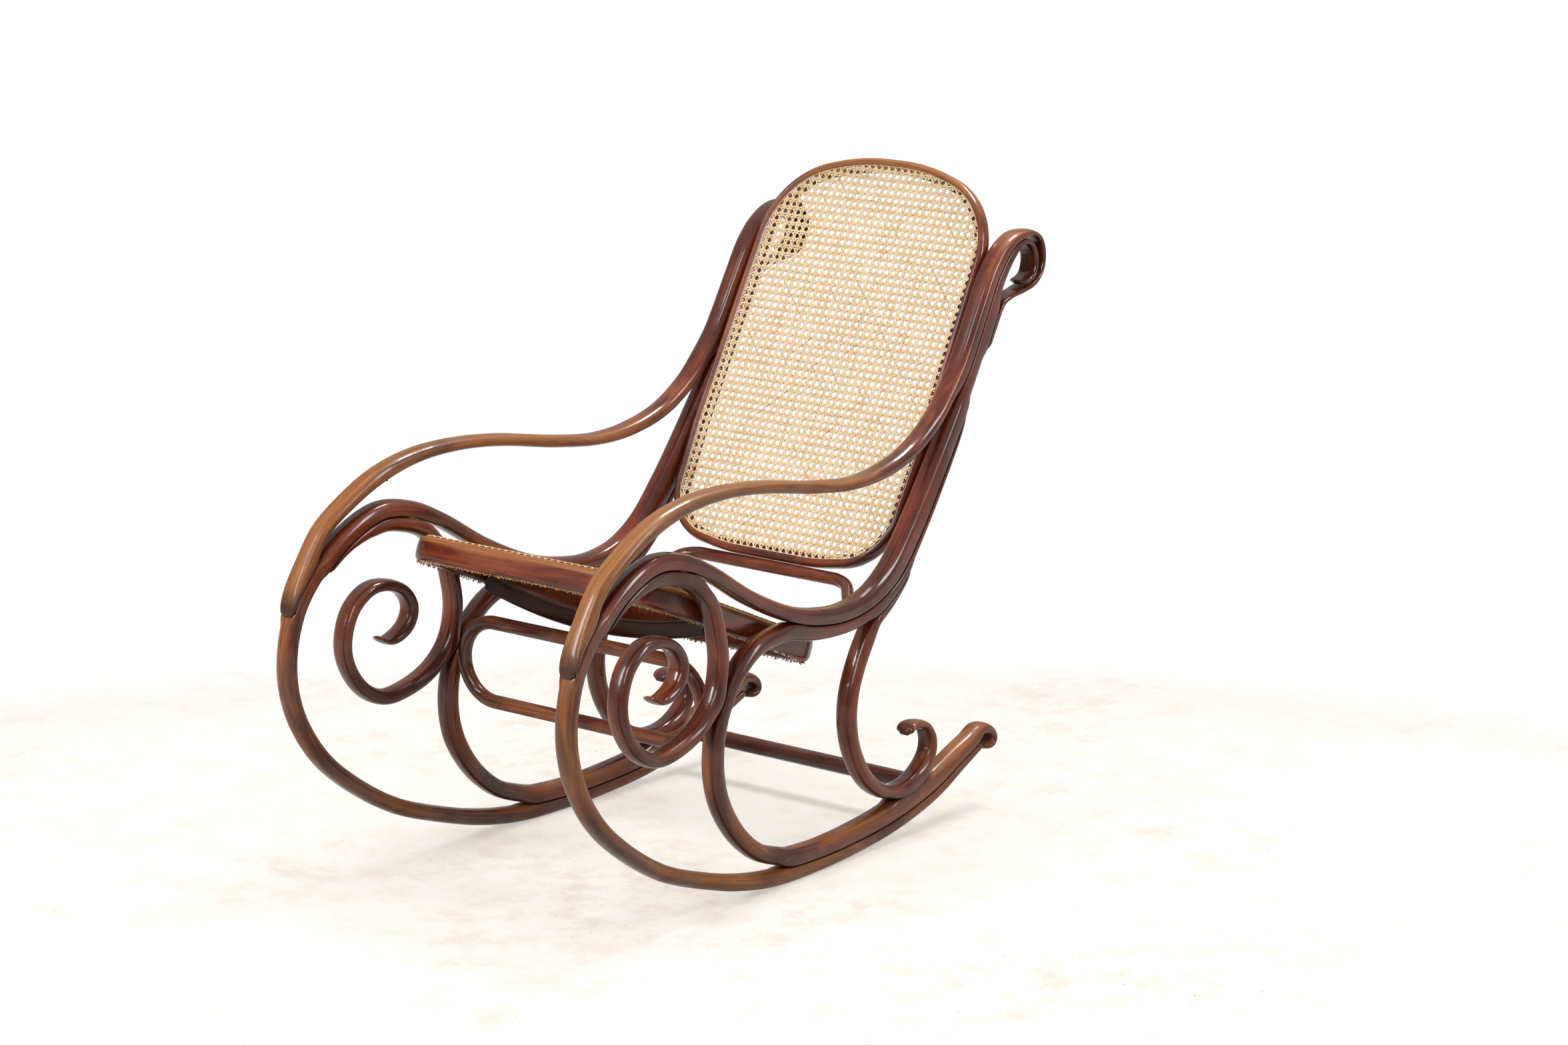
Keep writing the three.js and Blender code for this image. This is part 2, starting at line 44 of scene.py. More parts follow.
# Rows brought to length 1.
def unit(rows):
    return rows / np.linalg.norm(rows, axis=-1, keepdims=True)


# Quads between neighbouring rows and columns; the columns close round the piece.
def gridFaces(rows, columns, closed=False):
    i, j = np.meshgrid(np.arange(rows if closed else rows - 1), np.arange(columns), indexing="ij")
    row, rowNext, jNext = i * columns, (i + 1) % rows * columns, (j + 1) % columns
    return np.stack([row + j, row + jNext, rowNext + jNext, rowNext + j], -1).reshape(-1, 4)


# The two end faces of an open grid.
def endCaps(rows, columns):
    return [np.arange(columns)[::-1], (rows - 1) * columns + np.arange(columns)]


# Makes the object from vertices in mm and lists of faces, with one array for each attribute.
def addPiece(name, points, quads, material, polygons=(), attributes=None, smooth=True):
    mesh = bpy.data.meshes.new(name)
    corners = np.concatenate([quads.reshape(-1), *polygons]).astype(np.int32)
    sizes = np.concatenate([np.full(len(quads), 4), [len(p) for p in polygons]]).astype(np.int32)
    mesh.vertices.add(len(points))
    mesh.vertices.foreach_set("co", (points / 1000.0).astype(np.float32).ravel())
    mesh.loops.add(len(corners))
    mesh.loops.foreach_set("vertex_index", corners)
    mesh.polygons.add(len(sizes))
    mesh.polygons.foreach_set("loop_start", np.concatenate([[0], np.cumsum(sizes)[:-1]]).astype(np.int32))
    mesh.polygons.foreach_set("use_smooth", np.full(len(sizes), smooth))
    mesh.update(calc_edges=True)
    for key, values in (attributes or {}).items():
        kind, part = ("FLOAT_VECTOR", "vector") if values.ndim == 2 else ("FLOAT", "value")
        layer = mesh.attributes.new(key, kind, "POINT")
        layer.data.foreach_set(part, values.astype(np.float32).ravel())
    mesh.materials.append(material)
    piece = bpy.data.objects.new(name, mesh)
    bpy.context.scene.collection.objects.link(piece)
    return piece


# A piece of the chair: it rides on the body and stands for its node.
def seat(piece, node):
    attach(piece, "root")
    if node:
        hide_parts(node)
    return piece


# A wooden piece: grain in mm, wear that rubs it golden, joint that darkens it with grime and painted shade.
def woodPiece(name, node, points, quads, caps, grain, wear, joint, material):
    attributes = {
        "grain": grain.reshape(-1, 3) / 1000, "wear": wear.reshape(-1),
        "joint": np.broadcast_to(joint, wear.shape).reshape(-1),
    }
    return seat(addPiece(name, points, quads, material, caps, attributes), node)


# Shader nodes in short: each method adds a node and gives back its output.
class Nodes:
    def __init__(self, tree):
        self.tree = tree

    def put(self, node, inputs):
        for key, value in inputs.items():
            if isinstance(value, bpy.types.NodeSocket):
                self.tree.links.new(value, node.inputs[key])
            else:
                node.inputs[key].default_value = value
        return node

    def make(self, kind, inputs=None, **values):
        node = self.tree.nodes.new("ShaderNode" + kind)
        for key, value in values.items():
            setattr(node, key, value)
        return self.put(node, inputs or {})

    def add(self, kind, inputs=None, output=0, **values):
        return self.make(kind, inputs, **values).outputs[output]

    def group(self, group, **inputs):
        return self.make("Group", inputs, node_tree=group).outputs

    def noise(self, vector, scale, detail=3.0, roughness=0.5, distortion=0.0):
        return self.add("TexNoise", {
            "Vector": vector, "Scale": scale, "Detail": detail, "Roughness": roughness, "Distortion": distortion})

    def stretched(self, vector, scale, turned=(0, 0, 0)):
        return self.add("Mapping", {"Vector": vector, "Rotation": turned, "Scale": scale})

    def ramp(self, value, low, high, toLow=0.0, toHigh=1.0):
        inputs = {"Value": value, "From Min": low, "From Max": high, "To Min": toLow, "To Max": toHigh}
        return self.add("MapRange", inputs, interpolation_type="SMOOTHSTEP")

    def mix(self, factor, first, second, blend="MIX"):
        return self.add("Mix", {0: factor, 6: first, 7: second}, 2, data_type="RGBA", blend_type=blend)

    def calc(self, operation, first, second):
        return self.add("Math", {0: first, 1: second}, operation=operation)

    def plus(self, first, second):
        return self.calc("ADD", first, second)

    def less(self, first, second):
        return self.calc("SUBTRACT", first, second)

    def times(self, first, second):
        return self.calc("MULTIPLY", first, second)

    def largest(self, first, second):
        return self.calc("MAXIMUM", first, second)

    def attribute(self, name, output="Fac"):
        return self.add("Attribute", output=output, attribute_name=name)

    def objectPoint(self):
        return self.add("TexCoord", output="Object")

    def bump(self, height, strength, distance):
        return self.add("Bump", {"Strength": strength, "Distance": distance, "Height": height}, "Normal")


# A colour as seen on a screen, 0 to 255, as Blender's linear value.
def shade(*rgb):
    linear = [c / 12.92 if c <= 0.04045 else ((c + 0.055) / 1.055) ** 2.4 for c in (v / 255 for v in rgb)]
    return (*linear, 1.0)


# An empty group with its start and end.
def newGroup(name, inputs, outputs):
    group = bpy.data.node_groups.new(name, "ShaderNodeTree")
    for key, kind in inputs.items():
        group.interface.new_socket(key, in_out="INPUT", socket_type="NodeSocket" + kind)
    for key in outputs:
        group.interface.new_socket(key, in_out="OUTPUT", socket_type="NodeSocketFloat")
    return group, group.nodes.new("NodeGroupInput").outputs, group.nodes.new("NodeGroupOutput")


# An empty material with its nodes and its shader.
def newMaterial(name):
    material = bpy.data.materials.new(name)
    material.use_nodes = True
    return material, Nodes(material.node_tree), material.node_tree.nodes["Principled BSDF"]


grainNoise = [  # scale across and along the rod, detail, roughness, distortion: tone, streak, line, pore
    ((28, 28, 6.5), 3.0, 0.6, 0.3), ((230, 230, 5), 4.0, 0.65, 0.3),
    ((620, 620, 11), 3.0, 0.6, 0.0), ((1500, 1500, 70), 2.0, 0.5, 0.0),
]


# Long grain: noise drawn out along the bent rod, as broad tone, soft streaks, dark lines and pores.
def makeGrain():
    group, start, end = newGroup("bentGrain", {"Vector": "Vector"}, ("Tone", "Streak", "Line", "Height"))
    n = Nodes(group)
    tone, streak, line, pore = (n.noise(n.stretched(start["Vector"], scale), 1.0, *rest) for scale, *rest in grainNoise)
    n.put(end, {
        "Tone": n.ramp(tone, 0.34, 0.66), "Streak": n.ramp(streak, 0.32, 0.68), "Line": n.ramp(line, 0.54, 0.72),
        "Height": n.plus(n.times(streak, 0.5), n.times(n.ramp(pore, 0.3, 0.55), 0.5)),
    })
    return group


scuffs = {
    "patchScale": 9.0, "fleckScale": 260.0, "fleckEdge": 0.78, "byAmount": 0.14, "byPatch": 0.08,
    "scratches": [((0.3, 0.5, 0.9), (1300, 45, 400)), ((0.9, 0.2, 2.1), (60, 1500, 380))],  # turned, scale
}


# Handling marks: small flecks gathered in patches, and thin scratches in two directions.
def makeScuffs(look):
    group, start, end = newGroup(
        "handledScuffs", {"Vector": "Vector", "Amount": "Float"}, ("Fleck", "Patch", "Scratch"))
    n = Nodes(group)
    point, amount = start["Vector"], start["Amount"]
    patch = n.ramp(n.noise(point, look["patchScale"], 3.0, 0.6), 0.42, 0.7)
    fine = n.noise(point, look["fleckScale"], 5.0, 0.75, 0.6)
    edge = n.less(n.less(look["fleckEdge"], n.times(amount, look["byAmount"])), n.times(patch, look["byPatch"]))
    scratches = [n.ramp(n.noise(n.stretched(point, scale, turned), 1.0, 1.0, 0.4), 0.7, 0.76)
                 for turned, scale in look["scratches"]]
    n.put(end, {
        "Fleck": n.ramp(n.less(fine, edge), 0.0, 0.05), "Patch": patch,
        "Scratch": n.times(n.largest(*scratches), n.times(patch, amount)),
    })
    return group


grainGroup = makeGrain()
scuffGroup = makeScuffs(scuffs)

# Its darkest colour is grime and painted shade.
varnish = {
    "deep": shade(66, 24, 11), "mid": shade(128, 52, 22), "light": shade(137, 83, 40), "bare": shade(174, 122, 68),
    "grimeAndShade": shade(24, 12, 9), "coat": 0.85, "coatRoughness": 0.09, "specular": 0.3, "bump": 0.08,
    "streaks": 0.35, "worn": 0.85, "goldenTone": 0.22, "lines": 0.55, "flecks": 0.3, "joints": 0.85,
    "wearGain": 1.0, "dark": 0.0, "scuffed": 0.5,
}


# Reddish-brown varnish over long grain, rubbed golden where "wear" is high, dark with grime and painted shade where
# "joint" is high.
def makeVarnish(name, **changes):
    look = {**varnish, **changes}
    material, n, shader = newMaterial(name)
    grain = n.group(grainGroup, Vector=n.attribute("grain", "Vector"))
    scuff = n.group(scuffGroup, Vector=n.objectPoint(), Amount=look["scuffed"])
    tone, streak, line = grain["Tone"], grain["Streak"], grain["Line"]
    color = n.mix(n.ramp(tone, 0.0, 1.0, 0.15, 0.95), look["deep"], look["mid"])
    color = n.mix(n.times(streak, look["streaks"]), color, look["deep"])
    wear = n.times(n.attribute("wear"), look["wearGain"])
    worn = n.ramp(n.plus(wear, n.times(n.less(tone, 0.5), 0.5)), 0.15, 0.9)
    golden = n.mix(streak, look["bare"], look["light"])
    golden = n.mix(n.times(tone, look["goldenTone"]), golden, look["mid"])
    color = n.mix(n.times(worn, look["worn"]), color, golden)
    color = n.mix(n.times(line, look["lines"]), color, look["deep"])
    marks = n.largest(n.times(scuff["Fleck"], look["flecks"]), scuff["Scratch"])
    color = n.mix(marks, color, look["bare"])
    # grime and painted shade by the joint attribute
    color = n.mix(n.times(n.attribute("joint"), look["joints"]), color, look["grimeAndShade"])
    if look["dark"]:
        color = n.mix(look["dark"], color, look["grimeAndShade"])
    rough = n.plus(n.ramp(line, 0.0, 1.0, 0.0, 0.06), n.ramp(scuff["Patch"], 0.0, 1.0, 0.26, 0.36))
    n.put(shader, {
        "Base Color": color,
        "Roughness": n.plus(rough, n.times(n.plus(worn, marks), 0.12)),
        "Coat Weight": n.ramp(n.plus(worn, scuff["Patch"]), 0.0, 1.6, look["coat"], 0.15),
        "Coat Roughness": look["coatRoughness"], "Specular IOR Level": look["specular"],
        "Normal": n.bump(n.less(grain["Height"], marks), look["bump"], 0.0006),
    })
    return material


frameWood = makeVarnish("frameWood")
seatWood = makeVarnish("seatWood", scuffed=1.0)
slatWood = makeVarnish(
    "slatWood", coat=0.25, coatRoughness=0.3, specular=0.2, wearGain=0.3, dark=0.8, scuffed=0.8)

side = {
    "depth": 1130, "height": 878, "spacing": 500, "thickness": 24, "width": 32, "gap": 0.3,
    "toeIn": math.radians(1.85), "rake": math.radians(0.82), "step": 3.6, "around": 30,
    "roundness": 2.35, "flatness": 7.0, "capTurns": np.radians([28, 52, 72, 84]), "capReach": 0.45, "capNarrow": 0.55,
    "farWear": 0.78, "evenWear": 0.8, "topWear": 0.25, "jointFrom": 0.62, "jointFade": 0.3,
    "tipReach": 1.35, "tipFade": 45, "tipDark": 0.95,
}

# Each rod of a side frame: points in thousandths of depth, height and thickness, its tips' lengths in mm,
# and its wear by share of length
rods = {
    "runner_and_post": {
        "tips": (4.0, 5.0),
        "path": [
            [531, 120, 500], [488, 96, 650], [428, 62, 750], [338, 33, 808], [251, 20, 858], [166, 15, 917],
            [84, 18, 1025], [17, 31, 1025], [-48, 53, 1000], [-140, 96, 1000], [-226, 166, 1025], [-270, 220, 1025],
            [-302, 288, 1000], [-314, 349, 1000], [-311, 411, 1000], [-294, 470, 1042], [-258, 524, 1025],
            [-211, 570, 1000], [-154, 596, 1017], [-99, 587, 1000], [-47, 558, 967], [32, 499, 917],
            [114, 452, 958], [170, 434, 1000], [227, 428, 1017], [283, 441, 1167], [329, 474, 1417],
            [371, 532, 1458], [416, 608, 1375], [471, 710, 1250], [511, 792, 1150], [547, 877, 1067],
            [564, 919, 933], [589, 957, 750], [606, 973, 567], [621, 978, 450], [636, 970, 417], [645, 945, 400],
            [639, 919, 367], [617, 908, 292],
        ],
        "wear": [(0, 0.5), (0.1, 0.55), (0.25, 0.8), (0.42, 0.78), (0.455, 0.45), (0.5, 0.12), (0.62, 0.05), (1, 0.12)],
    },
    "scroll_rod": {
        "tips": (14.0, 10.0),
        "path": [
            [-44, 506, 958], [-29, 451, 1000], [-25, 402, 1000], [-37, 350, 958], [-67, 311, 1000],
            [-111, 288, 1000], [-153, 283, 958], [-190, 307, 875], [-215, 354, 792], [-219, 394, 792],
            [-205, 441, 833], [-176, 468, 833], [-146, 470, 750], [-116, 454, 750], [-102, 424, 792],
            [-110, 395, 833], [-132, 378, 700], [-148, 376, 400], [-158, 384, 200],
        ],
        "wear": [(0, 0.1), (0.45, 0.3), (0.6, 0.35), (1, 0.15)],
    },
    "lower_loop": {
        "tips": (60.0, 5.0),
        "path": [
            [115, 421, 1083], [81, 421, 1083], [46, 412, 1083], [13, 385, 1000], [-15, 342, 958], [-32, 291, 1067],
            [-36, 234, 1125], [-26, 179, 1167], [5, 119, 1125], [48, 74, 1083], [88, 54, 1108],
        ],
        "end": [
            [531, 145, 875], [546, 143, 750], [558, 134, 667], [561, 121, 583], [554, 113, 500], [544, 113, 417],
        ],
        "wear": [(0, 0.05), (0.35, 0.2), (0.55, 0.45), (0.9, 0.55), (1, 0.5)],
    },
    "back_leg": {
        "tips": (30.0, 8.0),
        "path": [
            [278, 368, 1000], [257, 324, 1000], [244, 281, 983], [241, 236, 958], [250, 186, 958], [278, 130, 983],
            [315, 98, 917], [354, 91, 917], [389, 103, 942], [416, 132, 875], [420, 160, 667], [407, 187, 525],
            [387, 194, 500], [372, 192, 467], [368, 182, 417],
        ],
        "wear": [(0, 0.05), (0.5, 0.25), (1, 0.3)],
    },
    "arm": {
        "tips": (24.0, 16.0),
        "path": [
            [-252, 582, 917], [-206, 622, 1000], [-153, 654, 1042], [-90, 674, 917], [-19, 679, 792],
            [56, 672, 767], [170, 648, 767], [243, 638, 775], [306, 643, 875], [372, 666, 958], [424, 707, 1000],
            [454, 745, 1017],
        ],
        "end": [
            [639, 990, 417], [655, 978, 400], [662, 951, 400], [658, 924, 400], [642, 904, 383], [616, 895, 375],
            [590, 890, 367], [570, 881, 367],
        ],
        "wear": [(0, 0.95), (0.1, 1.0), (0.3, 0.9), (0.42, 0.7), (0.52, 0.4), (0.7, 0.15), (0.86, 0.4), (1, 0.1)],
    },
}

# Where a rod lies on another: shares of the carrier's length, the side, and the rod's thickness there
joints = {
    "scroll": ((0.48, 0.568), -1, [0.06, 0.45, 0.85, 0.92, 0.95]),
    "loopTop": ((0.86, 0.6745), -1, [0.03, 0.25, 0.3, 0.33, 0.43, 0.66, 0.82, 0.85, 1]),
    "loopRunner": ((0.183, 0.007), -1, [1.1, 1.02, 1.05, 1.1, 1.17, 1.25, 1.15, 1]),
    "leg": ((0.156, 0.217), 1, [0.03, 0.3, 0.7]),
    "armTip": ((0.449, 0.474), 1, [0.12, 0.55, 0.86]),
    "armPost": ((0.877, 0.964), 1, [1.02, 1, 0.95, 0.85, 0.5]),
    "armTail": ((0.915, 0.8935), -1, [0.36, 0.12]),
}


# A smooth curve through the points: cubic Hermite spans whose knots are spaced by the square root
# of the distance between points; all columns are carried along with the first two.
def curveThrough(points, first, last, perSpan=40):
    p = np.vstack([2 * points[0] - points[1], points, 2 * points[-1] - points[-2]])
    knot = np.sqrt(np.maximum(np.linalg.norm(np.diff(p[:, :2], axis=0), axis=1), 1e-6))[:, None]
    p0, p1, p2, p3 = p[:-3], p[1:-2], p[2:-1], p[3:]
    k0, k1, k2 = knot[:-2], knot[1:-1], knot[2:]
    m1 = k1 * ((p1 - p0) / k0 - (p2 - p0) / (k0 + k1) + (p2 - p1) / k1)
    m2 = k1 * ((p2 - p1) / k1 - (p3 - p1) / (k1 + k2) + (p3 - p2) / k2)
    t = np.arange(first * perSpan, last * perSpan + 1) / perSpan
    span = np.minimum(t.astype(int), len(points) - 2)
    f = (t - span)[:, None]
    a, b, c, d = p1[span], p2[span], m1[span], m2[span]
    return (2 * f**3 - 3 * f**2 + 1) * a + (f**3 - 2 * f**2 + f) * c + (3 * f**2 - 2 * f**3) * b + (f**3 - f**2) * d


# Distance of each row from the first, along the rows.
def lengthAlong(rows):
    return np.concatenate([[0], np.cumsum(np.linalg.norm(np.diff(rows[:, :2], axis=0), axis=1))])


# Every column read off at the given places along the rows.
def sampled(rows, places, at):
    return np.stack([np.interp(at, places, column) for column in rows.T], -1)


# Even steps round a closed path.
def evenRound(points, step=None, count=None):
    closed = np.vstack([points, points[:1]])
    along = lengthAlong(closed)
    return sampled(closed, along, np.linspace(0, along[-1], count or round(along[-1] / step), endpoint=False))


# The direction of a closed path at each of its points.
def closedTangent(path):
    return unit(np.roll(path, -1, 0) - np.roll(path, 1, 0))


# The rows at even steps of length, smoothed a little, with the curve's left-hand normal as last columns.
def evenRows(rows, step=side["step"]):
    along = lengthAlong(rows)
    keep = np.concatenate([[True], np.diff(along) > 1e-6])
    rows, along = rows[keep, :3], along[keep]
    out = sampled(rows, along, np.linspace(0, along[-1], max(4, round(along[-1] / step) + 1)))
    soft = np.pad(out, ((2, 2), (0, 0)), mode="edge")
    blurred = (soft[:-4] + 4 * soft[1:-3] + 6 * soft[2:-2] + 4 * soft[3:-1] + soft[4:]) / 16
    out[2:-2] = blurred[2:-2]  # the ends stay where they are
    tangent = unit(np.gradient(out[:, :2], axis=0))
    return np.column_stack([out, -tangent[:, 1], tangent[:, 0]])


# A stretch that lies on a carrier: the carrier's line moved out by both half thicknesses and the gap.
def seated(carrier, joint, count=120):
    (start, end), towards, marks = joints[joint]
    share = lengthAlong(carrier) / lengthAlong(carrier)[-1]
    row = sampled(carrier, share, np.linspace(start, end, count))
    thickness = np.interp(np.linspace(0, 1, count), np.linspace(0, 1, len(marks)), marks) * side["thickness"]
    offset = row[:, 2] / 2 + side["gap"] + thickness / 2
    return "seated", np.column_stack([row[:, :2] + towards * row[:, 3:] * offset[:, None], thickness])


# Shares of depth, height and thickness in mm; the whole frame leans back by its rake.
def scaledPath(shares):
    rows = np.array(shares) * [side["depth"], side["height"], side["thickness"]]
    rows[:, 1] -= rows[:, 0] * math.tan(side["rake"])
    return rows


# A stretch that follows points of its own.
def free(rodName, key="path"):
    return "free", scaledPath(np.array(rods[rodName][key]) / 1000)


# A place of the side frame on the middle plane: y and z.
def middlePlace(depth, height):
    u, v, _ = scaledPath([[depth, height, 0]])[0]
    return u * math.cos(side["toeIn"]), v


# Half the width between the side frames' inner faces.
def innerHalfAt(y):
    middle = side["spacing"] / 2 - y * math.tan(side["toeIn"])
    return middle - side["width"] / 2 / math.cos(side["toeIn"]) - side["gap"]


# Joins seated and free stretches in turn into one rod; a free one starts and ends along its neighbours.
def rodRows(*stretches, lead=13):
    rows = []
    for i, (kind, stretch) in enumerate(stretches):
        if kind == "free":
            none = np.zeros((0, 3))
            before = stretches[i - 1][1][[-1 - lead, -1]] if i else none
            after = stretches[i + 1][1][[0, lead]] if i + 1 < len(stretches) else none
            points = np.vstack([before, stretch, after])
            stretch = curveThrough(points, 1 if i else 0, len(points) - 1 - (1 if len(after) else 0))
        rows.append(stretch)
    return evenRows(np.vstack(rows))


post = rodRows(free("runner_and_post"))
scroll = rodRows(seated(post, "scroll"), free("scroll_rod"))
loop = rodRows(seated(post, "loopTop"), free("lower_loop"), seated(post, "loopRunner"), free("lower_loop", "end"))
leg = rodRows(seated(loop, "leg"), free("back_leg"))
arm = rodRows(
    seated(post, "armTip"), free("arm"), seated(post, "armPost"), free("arm", "end"), seated(post, "armTail"))
sideRods = {"runner_and_post": post, "scroll_rod": scroll, "lower_loop": loop, "back_leg": leg, "arm": arm}


# How near each row lies to a rod on its left (1) or right (-1): 1 where they touch, fading over reach.
def touching(rows, others, sign, reach=5.0):
    near = np.zeros(len(rows))
    edge = rows[:, :2] + sign * rows[:, 3:] * rows[:, 2:3] / 2
    for other in others:
        gap = np.linalg.norm(edge[:, None, :] - other[None, :, :2], axis=2) - other[None, :, 2] / 2
        near = np.maximum(near, 1 - np.clip((gap.min(axis=1) - 0.5) / reach, 0, 1))
    kernel = np.hanning(9)
    return np.convolve(np.pad(near, 4, mode="edge"), kernel / kernel.sum(), mode="valid")


# Cosine and sine of even turns round a section.
def turns(around):
    turn = (np.arange(around) + 0.5) / around * 2 * np.pi
    return np.cos(turn), np.sin(turn)


# Superellipse: the value's size to the power of 2 by the exponent, with its sign kept.
def squarer(value, exponent):
    return np.sign(value) * np.abs(value) ** (2 / exponent)


# A section carried along rows (place, thickness, direction across): points, and across, up, along as grain.
def carried(rows, across, up):
    across, up, along = np.broadcast_arrays(across, up, lengthAlong(rows)[:, None])
    flat = rows[:, None, :2] + rows[:, None, 3:] * across[..., None]
    return np.concatenate([flat, up[..., None]], -1), np.stack([across, up, along], -1)


# Points round each row: a superellipse of the rod's thickness and width, squarer towards a neighbour.
# Near a tip the width follows a quarter ellipse. Rounded ends: rings that shrink by the cosine while
# they move on by the sine.
def rodSurface(rows, flatLeft, flatRight, tips):
    c, s = turns(side["around"])
    flat = np.where(c > 0, flatLeft[:, None], flatRight[:, None])
    exponent = side["roundness"] + (side["flatness"] - side["roundness"]) * flat
    along = lengthAlong(rows)
    fromTip = [np.clip(way / tip, 0, 1) for way, tip in zip((along, along[-1] - along), tips)]
    narrow = np.prod([0.5 + 0.5 * np.sqrt(1 - (1 - f) ** 2) for f in fromTip], axis=0)[:, None]
    points, grain = carried(
        rows, squarer(c, exponent) * rows[:, 2:3] / 2, squarer(s, exponent) * side["width"] / 2 * narrow)
    shrink = (1 - (1 - np.cos(side["capTurns"])) * side["capNarrow"])[:, None, None]
    for end, sign in ((0, -1), (-1, 1)):
        centre = np.array([*rows[end, :2], 0.0])
        tangent = np.array([rows[end, 4], -rows[end, 3], 0.0])
        reach = side["capReach"] * rows[end, 2] / 2
        rings = centre + (points[end] - centre) * shrink
        rings = rings + sign * tangent * reach * np.sin(side["capTurns"])[:, None, None]
        more = np.repeat(grain[end][None], len(rings), 0)
        points = np.concatenate([points, rings] if end else [rings[::-1], points])
        grain = np.concatenate([grain, more] if end else [more, grain])
    return points, grain


# Puts a side frame's drawing (depth, height, across) in its place, turned in by the toe-in.
def sidePlaced(points, sign):
    c, s = math.cos(side["toeIn"]), math.sin(side["toeIn"])
    u, v, w = (points[..., k].reshape(-1) for k in range(3))
    place = np.column_stack([sign * side["spacing"] / 2 - sign * u * s + w * c, u * c + sign * w * s, v]) + shift
    place[:, 2] = np.maximum(place[:, 2], 0)  # the runners stand on the floor
    return place


# Values by row, carried on over the rings of both rounded ends.
def overCaps(values):
    return np.pad(values, len(side["capTurns"]), mode="edge")


seed = np.random.default_rng(11)
c, _ = turns(side["around"])
for rodName, rows in sideRods.items():
    others = [other for key, other in sideRods.items() if key != rodName]
    flatLeft, flatRight = touching(rows, others, 1), touching(rows, others, -1)
    points, grain = rodSurface(rows, flatLeft, flatRight, rods[rodName]["tips"])
    share = overCaps(lengthAlong(rows) / lengthAlong(rows)[-1])
    wearAlong = np.interp(share, *zip(*rods[rodName]["wear"]))
    facing = c * overCaps(rows[:, 4])[:, None]  # how far each point faces up
    wear = np.clip(wearAlong[:, None] * (side["evenWear"] + side["topWear"] * facing), 0, 1)
    # Along the lines where rods touch, joint paints grime and shade darker.
    towards = np.maximum(c, 0) * overCaps(flatLeft)[:, None] + np.maximum(-c, 0) * overCaps(flatRight)[:, None]
    joint = np.clip((towards - side["jointFrom"]) / side["jointFade"], 0, 1)
    if rodName == "arm":  # darker towards its tip
        tip = np.clip(side["tipReach"] - share * side["tipFade"], 0, 1)
        joint = np.maximum(joint, tip[:, None] * side["tipDark"])
    size = points.shape[:2]
    for suffix, sign, worn in (("left", 1, 1.0), ("right", -1, side["farWear"])):
        woodPiece(f"{rodName}_{suffix}_bent", f"{rodName}_{suffix}", sidePlaced(points, sign), gridFaces(*size),
                  endCaps(*size), grain + seed.uniform(0, 900, 3), wear * worn, joint, frameWood)
print("side frames bent")

seatShape = {
    "slope": math.radians(23.3), "length": 435, "high": 37, "thick": 26, "front": middlePlace(-0.133, 0.5185),
    "rearHalf": 214, "frontRadius": 48, "rearRadius": 62, "sideRadius": 600, "caneDrop": 11, "caneInset": 12.5,
    "outer": 3.4, "inner": 5.5, "wear": 0.06, "topWear": 0.75, "topFrom": 7, "topFade": 5, "frontWear": 0.08,
    # the corner values paint a highlight on the rear corner
    "frontFade": 40, "cornerHighlight": 0.8, "cornerHighlightAt": (205, 425), "cornerHighlightSpread": 900,
}
backShape = {
    "foot": middlePlace(0.346, 0.4459), "head": middlePlace(0.618, 1.0895),
    "length": 640, "wide": 20, "deep": 24, "caneForward": 4.6, "lip": 3.2, "caneInset": 10.5,
    "outer": 2.6, "inner": 5.0, "wear": 0.12, "topWear": 0.6, "topFrom": 520, "topFade": 110,
    # shares of the half width and the length, then each corner's radius as a share of the length
    "corners": [[0.38, 0, 0.5], [0.96, 0.03, 0.148], [1, 0.3, 0.5], [1, 0.931, 0.21], [0.28, 1, 0.5]],
}
slope = seatShape["slope"]
seatTopY = seatShape["front"][0] + seatShape["high"] * math.sin(slope)
backTilt = math.atan2(*np.subtract(backShape["head"], backShape["foot"]))


# Half the room for the seat at a way along its slope, and for the back along its tilt.
def seatHalfAt(along):
    return innerHalfAt(seatTopY + along * math.cos(slope))


def backHalfAt(along):
    return innerHalfAt(backShape["foot"][0] + backShape["deep"] / 2 * math.cos(backTilt) + along * math.sin(backTilt))


# The right half of an outline and its mirror image.
def mirrored(half):
    return np.array(half + [[-x, y, radius] for x, y, radius in half[::-1]], float)


seatCorners = mirrored([
    [seatHalfAt(0), 0, seatShape["frontRadius"]],
    [seatHalfAt(seatShape["length"] / 2), seatShape["length"] / 2, seatShape["sideRadius"]],
    [seatShape["rearHalf"], seatShape["length"], seatShape["rearRadius"]],
])
backCorners = mirrored([
    [x * backHalfAt(y * backShape["length"]), y * backShape["length"], radius * backShape["length"]]
    for x, y, radius in backShape["corners"]
])


# A closed outline through the corners, each replaced by an arc of its radius, moved inwards by the inset.
def roundedOutline(corners, inset, step=4.0):
    start = corners[:, :2]
    direction = unit(np.roll(start, -1, 0) - start)
    inward = np.column_stack([-direction[:, 1], direction[:, 0]])
    start = start + inward * inset
    before, beforeIn, beforeStart = np.roll(direction, 1, 0), np.roll(inward, 1, 0), np.roll(start, 1, 0)
    crossing = before[:, 0] * direction[:, 1] - before[:, 1] * direction[:, 0]
    turn = np.arctan2(crossing, (before * direction).sum(1))
    between = start - beforeStart
    reach = (between[:, 0] * direction[:, 1] - between[:, 1] * direction[:, 0]) / crossing
    corner = beforeStart + before * reach[:, None]
    radius = corners[:, 2] - inset
    centre = corner - before * (radius * np.tan(turn / 2))[:, None] + beforeIn * radius[:, None]
    arcs = []
    for k in range(len(corners)):
        angle = np.linspace(0, turn[k], 40)
        (x, y), c, s = -beforeIn[k], np.cos(angle), np.sin(angle)
        arcs.append(centre[k] + radius[k] * np.column_stack([x * c - y * s, x * s + y * c]))
    return evenRound(np.vstack(arcs), step)


